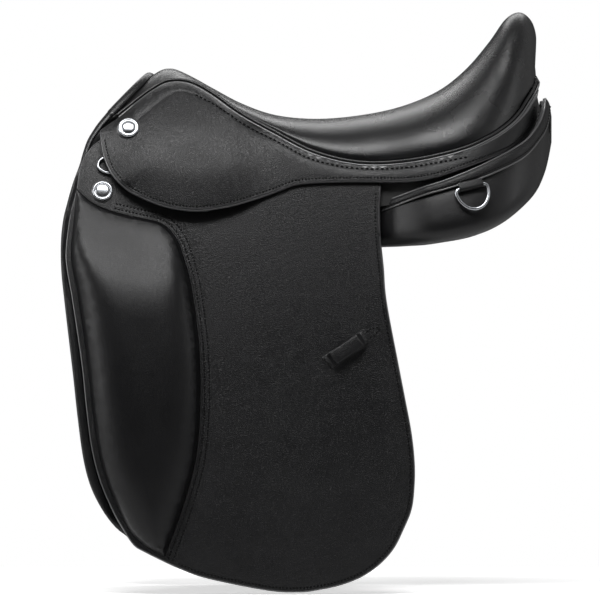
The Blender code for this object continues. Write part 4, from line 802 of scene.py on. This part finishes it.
def makeFlaps():
    outline = np.concatenate([trace(flapEdge, 4.0)[:-1], trace(flapHidden, 8.0)[:-1]])
    edge = trace(flapEdge, 3.0)
    behind, second = (insetLine(trace(blockSeam[2:], 3.0), amount) for amount in (4.2, 9.2))
    border = insetLine(edge, -flap["stitchInset"])
    border = border[insideOf(outline, border)]
    border = border[:np.argmax((border[:, 0] < -128) & (border[:, 1] < -300))]
    lines = [(border, (-1.3, 0, 1.3)), (behind, (-1.2, 0, 1.2)), (second, (-1.2, 0, 1.2))]
    flat, faces, rim = cutSheet(outline, 8.5, (0.5, 1.3, 2.4), lines, flap["bend"])
    depth = distanceTo(rim, flat, True)
    outer = edgeRound(depth, 1.6, 1.5)
    inner = -flap["leather"] - edgeRound(depth, 1.0, 0.8)
    for line, _ in lines:
        outer = outer + groove(flat, line, stitch["sunk"], stitch["groove"])
    head, moving = splitFaces(flat, faces)
    lift = stitch["proud"] - stitch["sunk"] + stitch["clear"]
    for side, word in sides:
        top = sheetBody(f"flapHeadLeather_{word}", flat, head, inner, outer, side, flapSkin, depth=depth)
        hangFlap(top, "head", side)
        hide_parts(f"flap_head_{word}")
        low = sheetBody(f"flapLeather_{word}", flat, moving, inner, outer, side, flapSkin, depth=depth)
        hangFlap(low, "low", side)
        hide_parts(f"flap_{word}")
        rows = {"head": [], "low": []}
        for line, _ in lines:
            for end, part in splitLine(line):
                if len(part) > 2:
                    rows[end].append(sidePoints(part[:, 0], part[:, 1], np.full(len(part), lift), side))
        for end in rows:
            if rows[end]:
                seam = stitchRows(f"flapStitches_{end}_{word}", rows[end])
                hangFlap(seam, end, side)


def blockHeight(x, z, depth):    # height of the knee block's cover above the flap
    share = np.minimum(depth / block["shoulder"], 1)
    crown = block["edge"] + (block["crown"] - block["edge"]) * np.sqrt(1 - (1 - share) ** 2)
    below = bendHeight(x) - z
    brow = block["head"] + block["rise"] * below
    soft = block["soft"]    # rounds the crease between the brow and the crown
    brow = np.where(below > 0, brow, block["head"] * np.clip(1 + below / block["headFall"], 0.35, 1))
    mix = np.clip(0.5 + 0.5 * (brow - crown) / soft, 0, 1)
    return brow * (1 - mix) + crown * mix - soft * mix * (1 - mix)


def makeKneeBlocks():
    gap = trace([blockSeam[-1], blockFront[0]], 4.0)
    outline = np.concatenate([trace(blockSeam, 3.4)[:-1], gap[:-1], trace(blockFront, 4.0)[:-1]])
    flat, faces, rim = cutSheet(outline, 7.0, (0.5, 1.4, 3.0, 5.0), (), flap["bend"])
    depth = distanceTo(rim, flat, True)
    full = blockHeight(flat[:, 0], flat[:, 1], depth)
    outer = block["foot"] + full * (1 - (1 - np.clip(depth / block["edgeWidth"], 0, 1)) ** 2.2 * 0.86)
    inner = np.full(len(flat), block["foot"] * 0.5)
    brow, pad = splitFaces(flat, faces)
    turned = insetLine(trace(blockSeam, 2.5), block["cordInset"])    # edge of the flap round the block
    for side, word in sides:
        smooth = sheetNormals(flat, faces, outer, side)
        low = sheetBody(f"kneeBlockLeather_{word}", flat, pad, inner, outer, side, blockSkin, 60, smooth)
        hangFlap(low, "low", side)
        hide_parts(f"knee_block_{word}", f"knee_block_core_{word}")
        top = sheetBody(f"kneeBlockBrow_{word}", flat, brow, inner, outer, side, blockSkin, 60, smooth)
        hangFlap(top, "head", side)
        for end, part in splitLine(turned):
            line = sidePoints(part[:, 0], part[:, 1], np.full(len(part), block["cordLift"]), side)
            edge = tubeBody(f"blockSeamEdge_{end}_{word}", line, block["cordRadius"], [flapLeather], 10)
            hangFlap(edge, end, side)


def makeSweatFlaps():    # the front roll runs on above the bend line, where it is fixed
    top = np.array([(-190, bendHeight(-190) - 0.6), (70, bendHeight(70) - 0.6)])
    outline = np.concatenate([trace(sweatEdge, 6.0)[:-1], trace(sweatHidden, 8.0), trace(top, 10)[:-1]])
    flat, faces, rim = cutSheet(outline, 12, (0.6, 1.5, 3.0, 6.0, 10.0), (), flap["bend"])
    depth = distanceTo(rim, flat, True)
    beyond = distanceTo(trace(flapEdge, 4.0), flat) * ~insideOf(trace(flapEdge, 4.0), flat)
    front = ease(-190, -212, flat[:, 0]) * ease(flap["sweatRoll"] + 6, flap["sweatRoll"] - 6, depth)
    outer = flap["sweatOuter"] + (-flap["leather"] - 0.5 - flap["sweatOuter"]) * front
    outer = outer + 3.2 * front * ease(0.6, 3.4, beyond) + edgeRound(depth, 3.4, 3.2)
    inner = np.full(len(flat), float(flap["sweatInner"])) - edgeRound(depth, 1.5, 1.2)
    head, moving = splitFaces(flat, faces)
    for side, word in sides:
        smooth = sheetNormals(flat, faces, outer, side)
        for name, part, body in (("sweatHeadLeather", head, root),
                                 ("sweatFlapLeather", moving, f"sweat_flap_{word}")):
            sheet = sheetBody(f"{name}_{word}", flat, part, inner, outer, side, panelSkin, 60, smooth)
            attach(sheet, body)
        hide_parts(f"sweat_flap_{word}")


makeFlaps()
makeKneeBlocks()
makeSweatFlaps()


print("panels")
panelRows = [
    (-246, 76, -46, -62, -44, -104, 12), (-236, 60, 4, -16, 4, -158, 14),
    (-216, 48, 30, 8, 28, -182, 16), (-190, 40, 42, 22, 38, -184, 17),
    (-160, 34, 56, 36, 42, -176, 18), (-120, 30, 70, 44, 54, -158, 20),
    (-80, 30, 60, 32, 44, -138, 24), (-40, 31, 40, 12, 28, -117, 28),
    (0, 33, 22, -6, 13, -96, 32), (40, 35, 19, -15, 6, -80, 36), (80, 36, 22, -22, -3, -69, 38),
    (110, 37, 32, -26, -4, -67, 40), (140, 38, 44, -26, 2, -65, 40), (170, 38, 58, -20, 11, -60, 40),
    (200, 38, 70, -8, 22, -51, 38), (225, 37, 78, 6, 33, -35, 32), (245, 35, 80, 24, 46, -15, 22),
    (258, 33, 74, 38, 56, 8, 14), (264, 36, 62, 46, 58, 32, 8),
]
panel = {"outer": -15.8, "gusset": 5.0, "gussetStart": 66, "gussetEnd": 140, "steps": 6,
         "perStation": 5, "stripGap": 0.3, "stripLeather": 3.0, "stripSink": 2.0, "cord": 1.1,
         "puff": 0.45, "nose": 5.0, "tail": 4.0, "shrink": (0.55, 0.86)}
stripUpper = [(78, -22.5), (88.8, -19.6), (143.9, -5.3), (192.5, 15.3), (228.7, 37), (244.3, 55),
              (251.6, 72), (253.5, 86)]
stripLower = [(84, -30), (97.2, -26.3), (156.5, -10), (192.4, 2), (228.7, 21.3), (247, 42),
              (254.5, 56), (258, 74)]
stripTop = heightOf(stripUpper)
stripBottom = heightOf(stripLower)


def panelLayer(x):    # from the panel's own outer face to its gusset
    return panel["outer"] + (panel["gusset"] - panel["outer"]) * ease(
        panel["gussetStart"], panel["gussetEnd"], x)


def panelOuter(x, z):
    layer = panelLayer(x)
    slope = (halfWidth(x, z + 1) - halfWidth(x, z - 1)) / 2
    return float(halfWidth(x, z, form["panelLength"]) + layer * np.hypot(1, slope))


def panelCorners(row):    # corner points across the panel at one station
    x, inner, topIn, bottomIn, topOut, bottomOut, foot = (float(v) for v in row)
    gusset = float(ease(panel["gussetStart"], panel["gussetEnd"], x))
    tucked = min(halfWidth(x, topOut), halfWidth(x, topOut, form["panelLength"])) + panel["outer"]
    tucked = max(float(tucked), inner + 6)
    high = topOut - 10 + (float(stripTop(x)) - topOut + 10) * gusset
    low = topOut - 24 + (float(stripBottom(x)) - topOut + 24) * gusset
    middle = 0.5 * (low + bottomOut)
    outer = panelOuter(x, bottomOut)
    lowY = max(outer - foot, inner + 3)
    return [
        (inner, topIn), (0.5 * (inner + tucked), 0.5 * (topIn + topOut) + 2), (tucked, topOut),
        (max(panelOuter(x, high) - 5 * gusset, inner + 8), high),
        (max(panelOuter(x, low) - gusset, inner + 9), low),
        (max(panelOuter(x, middle), inner + 10), middle),
        (max(outer - 1, inner + 9), 0.75 * bottomOut + 0.25 * middle),
        (max(outer - 0.4 * foot, inner + 6), bottomOut - 3), (lowY, bottomOut),
        (0.5 * (inner + lowY), 0.5 * (bottomIn + bottomOut) + 0.12 * (bottomIn - bottomOut)),
        (inner, bottomIn),
    ]


def splineLoop(corners, steps):
    c = np.array(corners, float)
    points = []
    for k in range(len(c)):
        p0, p1, p2, p3 = (c[(k + j - 1) % len(c)] for j in range(4))
        for t in np.arange(steps) / steps:
            points.append(((1 - t) ** 3 * p0 + (3 * t**3 - 6 * t**2 + 4) * p1
                           + (-3 * t**3 + 3 * t**2 + 3 * t + 1) * p2 + t**3 * p3) / 6)
    return np.array(points)


def panelLoops():
    stations = np.linspace(0, len(panelRows) - 1, panel["perStation"] * (len(panelRows) - 1) + 1)
    rows = curveAt(panelRows, stations)
    loops = []
    for row in rows:
        loop = splineLoop(panelCorners(row), panel["steps"])
        loops.append(np.concatenate([np.full((len(loop), 1), row[0]), loop], 1))
    return np.array(loops)


def longFace(x, z):    # the panel ends a little behind the cantle
    return halfWidth(x, z, form["panelLength"])


def loopNormals(loops):
    along = np.gradient(loops, axis=0)
    around = np.roll(loops, -1, axis=1) - np.roll(loops, 1, axis=1)
    normal = np.cross(around, along)
    normal /= np.maximum(np.linalg.norm(normal, axis=2), 1e-9)[..., None]
    middle = loops.mean(1, keepdims=True)
    if ((loops - middle) * normal).sum(2).mean() < 0:
        normal = -normal
    return normal


def shrunkLoops(loop, shares, reach):    # rounds a panel's end towards its middle
    middle = loop.mean(0)
    return [middle + (loop - middle) * share + (reach * (1 - share), 0, 0) for share in shares]


def makePanels():
    loops = panelLoops()
    normal = loopNormals(loops)
    rows, size = loops.shape[:2]
    stretch = np.linspace(0, 1, rows)
    wave = 0.5 * np.sin(2 * math.pi * 7.0 * stretch) + 0.35 * np.sin(2 * math.pi * 12.3 * stretch + 1.1)
    under = np.arange(size) >= 7 * panel["steps"]    # waves on the flocked underside alone
    puff = panel["puff"] * wave[:, None] * under[None]
    shaped = loops + normal * puff[..., None]
    whole = np.concatenate([shrunkLoops(shaped[0], panel["shrink"], -panel["nose"]), shaped,
                            shrunkLoops(shaped[-1], panel["shrink"][::-1], panel["tail"])])
    share = np.linspace(0, 1, 9)
    stations = np.linspace(0, len(stripUpper) - 1, 90)
    top, low = curveAt(stripUpper, stations), curveAt(stripLower, stations)
    plan = top[:, None] + (low - top)[:, None] * share[None, :, None]
    layer = panelLayer(plan[..., 0])
    crown = layer + panel["stripGap"] + panel["stripLeather"] * (1 - 0.7 * np.abs(2 * share - 1) ** 3)
    for side, word in sides:
        body = ringLoft(f"panelHide_{word}", whole * np.array((1, side, 1)), [panelLeather], 70)
        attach(body, root)
        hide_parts(f"panel_{word}")
        upper, lower = (sidePoints(plan[..., 0], plan[..., 1], lift, side, longFace)
                        for lift in (crown, layer - panel["stripSink"]))
        cover = gridSheet(f"panelStripLeather_{word}", upper, lower, [flapLeather, edgePaintWithPaintedHighlight])
        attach(cover, root)
        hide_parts(f"panel_strip_{word}")
        # the piping cords wear the lighter edge paint: a painted highlight along each cord
        cords = [tubeBody(f"panelPiping_{k}_{word}", upper[:, k], panel["cord"], [edgePaintWithPaintedHighlight], 8)
                 for k in (0, 8)]
        seam = stitchRows(f"panelStripStitches_{word}", [upper[6:, 6]])
        for piece in (*cords, seam):
            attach(piece, root)
    return loops


def makeRailCovers():    # thin leather that closes the slit between skirt and panel
    outline = trace([(62, -30), (86, -26), (108, -22), (132, -10), (160, 4), (178, 14), (178, 30),
                     (150, 20), (110, 10), (60, 9), (62, -30)], 6)[:-1]
    flat, faces, _ = cutSheet(outline, 9, (1.0,))
    outer = np.full(len(flat), -6.6)
    for side, word in sides:
        sheet = sheetBody(f"railCover_{word}", flat, faces, -8.0, outer, side, [liningLeather])
        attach(sheet, root)


panelGrid = makePanels()
makeRailCovers()


print("metal and small leather")
fitting = {
    "headStud": (-180.3, 48.5), "flapStud": (-207.3, -12), "headRadius": 11.2, "flapRadius": 10.9,
    "studHeight": 4.0, "studSeat": 1.9, "headGap": 0.2, "flapGap": 0.6, "tab": 1.4, "gap": 0.3,
    "keeper": (48.8, -178.2), "keeperLength": 48, "keeperWidth": 14, "keeperTilt": 34.6,
    "keeperLeather": 2.2, "keeperOpening": 7.6, "keeperGap": 0.3, "patchCorner": 2.0,
}
rings = {
    "rear": {"place": (178.2, -8.7), "tilt": 16.8, "width": 38, "depth": 28.5, "wire": 1.9,
             "tabWidth": 26, "tail": 6},
    "front": {"place": (-191, 16), "tilt": -85, "width": 24, "depth": 24, "wire": 1.4,
              "tabWidth": 13, "tail": 8},
}
studShape = [    # shares of the stud's radius and height, from its wall over the sunk ring to the dome
    (1, 0.42), (0.985, 0.55), (0.93, 0.68), (0.86, 0.74), (0.80, 0.745), (0.765, 0.69), (0.73, 0.6),
    (0.70, 0.6), (0.67, 0.69), (0.60, 0.80), (0.42, 0.89), (0.2, 0.95),
]
washerShape = [(0.6, -0.5), (1.09, -0.5), (1.1, -0.1), (1.06, 0.25), (0.6, 0.25)]    # share, height in mm


def panelFace(x, z):    # half width of the panel's outer face
    x, z = np.atleast_1d(np.asarray(x, float)), np.atleast_1d(np.asarray(z, float))
    xs = panelGrid[:, 0, 0]
    band = slice(2 * panel["steps"], 7 * panel["steps"])
    found = []
    for px, pz in zip(*np.broadcast_arrays(x, z)):
        k = min(max(int(np.searchsorted(xs, px)), 1), len(xs) - 1)
        widths = []
        for index in (k - 1, k):
            part = panelGrid[index, band]
            order = np.argsort(part[:, 2])
            widths.append(np.interp(pz, part[order, 2], part[order, 1]))
        t = (px - xs[k - 1]) / (xs[k] - xs[k - 1])
        found.append(widths[0] + (widths[1] - widths[0]) * t)
    return np.array(found)


def faceFrame(face, place, side, tilt=0.0):    # columns: along, across and out of the face
    base = sidePoints([place[0]], [place[1]], [0.0], side, face)[0]
    out = sidePoints([place[0]], [place[1]], [1.0], side, face)[0] - base
    out /= np.linalg.norm(out)
    along = np.array((math.cos(math.radians(tilt)), 0, math.sin(math.radians(tilt))))
    along -= out * (along @ out)
    along /= np.linalg.norm(along)
    return np.stack([along, np.cross(out, along), out], 1), base


def turnedBody(name, profile, origin, axes, materials):
    turn = np.linspace(0, 2 * math.pi, 72, endpoint=False)
    loops = []
    for r, h in profile:
        ring = np.stack([r * np.cos(turn), r * np.sin(turn), np.full(len(turn), h)], -1)
        loops.append(origin + ring @ axes.T)
    return ringLoft(name, loops, materials, 50)


def makeStuds():    # domed discs with a plain sunk ring
    lift = float(skirtInner(*(np.array(v) for v in fitting["headStud"])))
    lift += skirt["leather"] + fitting["headGap"]
    axisGap = 0.01    # the end loops stop just short of the axis
    for side, word in sides:
        for name, node, place, radius, base, h in (
            ("pommelStud", "pommel_stud", fitting["headStud"], fitting["headRadius"], lift,
             fitting["studHeight"] + fitting["studSeat"]),
            ("flapStud", "flap_stud", fitting["flapStud"], fitting["flapRadius"], fitting["flapGap"],
             fitting["studHeight"]),
        ):
            axes, origin = faceFrame(halfWidth, place, side)
            profile = [(axisGap, base), (0.97 * radius, base), (radius, base + 0.3)]
            profile += [(r * radius, base + share * h) for r, share in studShape]
            profile.append((axisGap, base + 0.965 * h))
            stud = turnedBody(f"{name}_{word}", profile, origin, axes, [chromePlate])
            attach(stud, root)
            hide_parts(f"{node}_{word}")
            profile = [(r * radius, base + height) for r, height in washerShape]
            washer = turnedBody(f"{name}Washer_{word}", profile, origin, axes, [edgePaintWithPaintedHighlight])
            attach(washer, root)


def ringLine(width, depth, wire):    # straight bar along the first axis, bow below it
    corner = 2.0 * wire
    half, reach = width / 2 - wire, depth - 2 * wire
    bar = [(x, 0.0) for x in np.linspace(-half + corner, half - corner, 12)]
    return np.array(bar + arc((half - corner, -corner), (corner, corner), 80, 10, 5)
                    + arc((0, -corner), (half, corner - reach), 0, 180, 40)
                    + arc((-half + corner, -corner), (corner, corner), 170, 100, 5))


def makeRings():
    bow = -np.array(arc((0, 0), (1, 1), 90, -90, 13))
    leather, gap = fitting["tab"], fitting["gap"]
    for side, word in sides:
        flip = 1 if side < 0 else -1
        for end, face in (("rear", panelFace), ("front", halfWidth)):
            shape = rings[end]
            wire, tail, middle = shape["wire"], shape["tail"], shape["tabWidth"] / 2
            axes, base = faceFrame(face, shape["place"], side, shape["tilt"])
            origin = base + axes[:, 2] * (gap + leather + gap + wire)
            flat = ringLine(shape["width"], shape["depth"], wire)
            line = origin + np.stack([flat[:, 0], flip * flat[:, 1], 0 * flat[:, 0]], -1) @ axes.T
            ring = tubeBody(f"{end}DRing_{word}", line, wire, [chromePlate], 16, True, axes[:, 2])
            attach(ring, f"{end}_d_ring_{word}")
            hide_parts(f"{end}_d_ring_{word}")
            inner, outer = wire + 0.25, wire + 0.2 + leather    # the fold lies a little off the wire
            section = np.array([(tail, -outer), *(outer * bow), (tail, outer * 0.75),
                                (tail, inner * 0.55), *(inner * bow[::-1]), (tail, -inner)])
            loops = []
            for along, shrink in ((-middle, 0.96), (0.5 - middle, 1), (middle - 0.5, 1), (middle, 0.96)):
                points = (np.full(len(section), along), flip * section[:, 0], section[:, 1] * shrink)
                loops.append(origin + np.stack(points, -1) @ axes.T)
            tab = ringLoft(f"{end}DTab_{word}", loops, [flapLeather])
            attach(tab, root)
            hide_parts(f"{end}_d_tab_{word}")


def roundedStrap(length, width, corner):    # outline of a flat strap with round corners
    x, y = length / 2 - corner, width / 2 - corner
    return np.array([point for sx, sy, start in ((1, -1, -90), (1, 1, 0), (-1, 1, 90), (-1, -1, 180))
                     for point in arc((sx * x, sy * y), (corner, corner), start, start + 90, 6)])


def makeKeepers():
    f = fitting
    half, gap = f["keeperLength"] / 2, f["keeperGap"]
    low, high = f["keeperLeather"] + gap, f["keeperOpening"] + f["keeperLeather"]
    t = math.radians(f["keeperTilt"])
    turn = np.array(((math.cos(t), math.sin(t)), (-math.sin(t), math.cos(t))))
    share = np.linspace(-1, 1, 61)
    top = low + (high - low) * ease(0.9, 0.66, np.abs(share))
    under = gap + (f["keeperOpening"] - gap) * ease(0.84, 0.60, np.abs(share))
    across = np.array([-1, -0.93, -0.8, -0.4, 0, 0.4, 0.8, 0.93, 1]) * f["keeperWidth"] / 2
    crown = np.array([-0.9, -0.3, 0, 0.15, 0.2, 0.15, 0, -0.3, -0.9])
    grid = np.stack(np.broadcast_arrays(share[:, None] * half, across[None]), -1) @ turn + f["keeper"]
    # flat patch under the loop, ending in an arrow tip towards the rear
    body = roundedStrap(f["keeperLength"] + 7, f["keeperWidth"] + 3, f["patchCorner"])
    tip = np.array([(half + 3.4, -4.6), (half + 8.5, -5.2), (half + 20, 0), (half + 8.5, 5.2),
                    (half + 3.4, 4.6)])
    outline = np.concatenate([body[:6], tip, body[6:]])
    steps = np.linalg.norm(np.diff(outline, axis=0), axis=1)
    outline = outline[np.concatenate([[True], steps > 0.2])] @ turn + f["keeper"]
    flat, faces, rim = cutSheet(outline, 4.0, (0.4, 1.0))
    outer = 0.28 + edgeRound(distanceTo(rim, flat, True), 0.8, 0.2)
    row = trace((tip * 0.78 + np.array((half + 8, 0)) * 0.22) @ turn + f["keeper"], 1.5)
    for side, word in sides:
        upper = sidePoints(grid[..., 0], grid[..., 1], top[:, None] + crown, side)
        lower = sidePoints(grid[..., 0], grid[..., 1], under[:, None] + 0 * crown, side)
        loop = gridSheet(f"keeperLoop_{word}", upper, lower, [flapLeather, edgePaintWithPaintedHighlight], 50)
        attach(loop, f"flap_{word}")
        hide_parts(f"keeper_{word}")
        patch = sheetBody(f"keeperPatch_{word}", flat, faces, 0.0, outer, side, flapSkin)
        line = sidePoints(row[:, 0], row[:, 1], np.full(len(row), 0.45), side)
        seam = stitchRows(f"keeperStitches_{word}", [line])
        for piece in (patch, seam):
            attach(piece, f"flap_{word}")


makeStuds()
makeRings()
makeKeepers()


print("frame parts")
finishes = {
    "webbing": webbing, "laminated_tree": beech, "spring_steel": bluedSteel, "chrome": chromePlate,
    "grained_leather": flapLeather, "seat_leather": seatLeather, "block_leather": blockLeather,
    "panel_leather": panelLeather, "lining_leather": liningLeather, "foam": webbing,
}
for part in frame["record"]["subparts"]:
    node = frame["nodes"][part["node"]]
    node.data.materials.clear()
    node.data.materials.append(finishes[part["material_slot"]])


print("floor, lights and camera")
studio = {"floor": -433.5, "view": (0, -126), "frame": 630, "lens": 520, "sensor": 36.0, "back": 0.10,
          "glow": 0.5, "dim": 0.06}


def cameraWhite(tree, world):    # 1 for rays that should meet the plain white backdrop
    seen = addNode(tree, "ShaderNodeLightPath")
    amount = addNode(tree, "ShaderNodeMath", {"operation": "MAXIMUM"}, (),
                     {0: seen.outputs["Is Camera Ray"], 1: seen.outputs["Is Transmission Ray"]})
    if not world:
        return amount.outputs["Value"]
    # mirrored rays meet white at the sides, above and below, and less along the room's depth
    way = addNode(tree, "ShaderNodeTexCoord")
    parts = addNode(tree, "ShaderNodeSeparateXYZ", (), (), {0: way.outputs["Generated"]})
    depth = addNode(tree, "ShaderNodeMath", {"operation": "ABSOLUTE"}, (), {0: parts.outputs["Y"]})
    ring = addNode(tree, "ShaderNodeMapRange", {"interpolation_type": "SMOOTHSTEP"},
                   {"From Min": 0.55, "From Max": 0.9, "To Min": 0.5, "To Max": 0.05},
                   {"Value": depth.outputs["Value"]})
    mirrored = addNode(tree, "ShaderNodeMath", {"operation": "MULTIPLY"}, (),
                       {0: ring.outputs["Result"], 1: seen.outputs["Is Glossy Ray"]})
    whole = addNode(tree, "ShaderNodeMath", {"operation": "MAXIMUM"}, (),
                    {0: amount.outputs["Value"], 1: mirrored.outputs["Value"]})
    return whole.outputs["Value"]


def makeStage():
    z = studio["floor"] * mil
    mesh = bpy.data.meshes.new("studioFloor")
    corners = [(-1.5, -0.75, z), (1.5, -0.75, z), (1.5, 0.75, z), (-1.5, 0.75, z)]
    mesh.from_pydata(corners, [], [(0, 1, 2, 3)])
    floor = bpy.data.objects.new("studioFloor", mesh)
    bpy.context.scene.collection.objects.link(floor)
    material, tree, shader, _ = newMaterial("paleStudioPaper")
    glow = addNode(tree, "ShaderNodeMath", {"operation": "MULTIPLY"}, {1: studio["glow"]},
                   {0: cameraWhite(tree, False)})
    fillNode(tree, shader, {"Base Color": linearColour("#f2f2f2"), "Roughness": 0.9,
                            "Emission Color": (1, 1, 1, 1)}, {"Emission Strength": glow.outputs["Value"]})
    mesh.materials.append(material)
    world = bpy.data.worlds.new("studioWorld")
    world.use_nodes = True
    tree = world.node_tree
    tree.nodes.clear()
    grey, white = (addNode(tree, "ShaderNodeBackground", (),
                           {"Color": (tone, tone, tone, 1), "Strength": strength}).outputs["Background"]
                   for tone, strength in ((0.8, studio["dim"]), (1.0, 1.0)))
    mixed = addNode(tree, "ShaderNodeMixShader", (), (), {0: cameraWhite(tree, True), 1: grey, 2: white})
    addNode(tree, "ShaderNodeOutputWorld", (), (), {"Surface": mixed.outputs["Shader"]})
    bpy.context.scene.world = world


def addLamp(name, place, size, power):    # a soft box that faces the saddle
    data = bpy.data.lights.new(name, "AREA")
    data.shape = "RECTANGLE"
    data.size, data.size_y = size
    data.energy = power
    lamp = bpy.data.objects.new(name, data)
    lamp.location = place
    lamp.rotation_mode = "QUATERNION"
    lamp.rotation_quaternion = (-Vector(place)).to_track_quat("-Z", "Y")
    bpy.context.scene.collection.objects.link(lamp)


def makeLights():
    addLamp("keySoftbox", (-0.2, -1.22, 1.58), (1.6, 0.7), 66)
    addLamp("frontSoftbox", (-1.9, -0.4, 0.35), (0.6, 1.0), 16)
    addLamp("rearSoftbox", (1.9, -0.35, 0.5), (0.5, 0.8), 4)
    addLamp("farSoftbox", (0.1, 1.5, 1.3), (1.6, 0.6), 12)


def makeCamera():
    data = bpy.data.cameras.new("camera")
    data.lens = studio["lens"]
    data.sensor_width = studio["sensor"]
    camera = bpy.data.objects.new("camera", data)
    wide = studio["frame"] * mil
    distance = wide * data.lens / data.sensor_width
    x, z = studio["view"]
    camera.location = (x * mil, -distance - studio["back"], z * mil)
    camera.rotation_mode = "QUATERNION"
    camera.rotation_quaternion = Vector((0, 1, 0)).to_track_quat("-Z", "Y")
    data.clip_end = 60
    bpy.context.scene.collection.objects.link(camera)
    bpy.context.scene.camera = camera


makeStage()
makeLights()
makeCamera()
bpy.context.scene.view_settings.view_transform = "Standard"

bpy.context.view_layer.update()
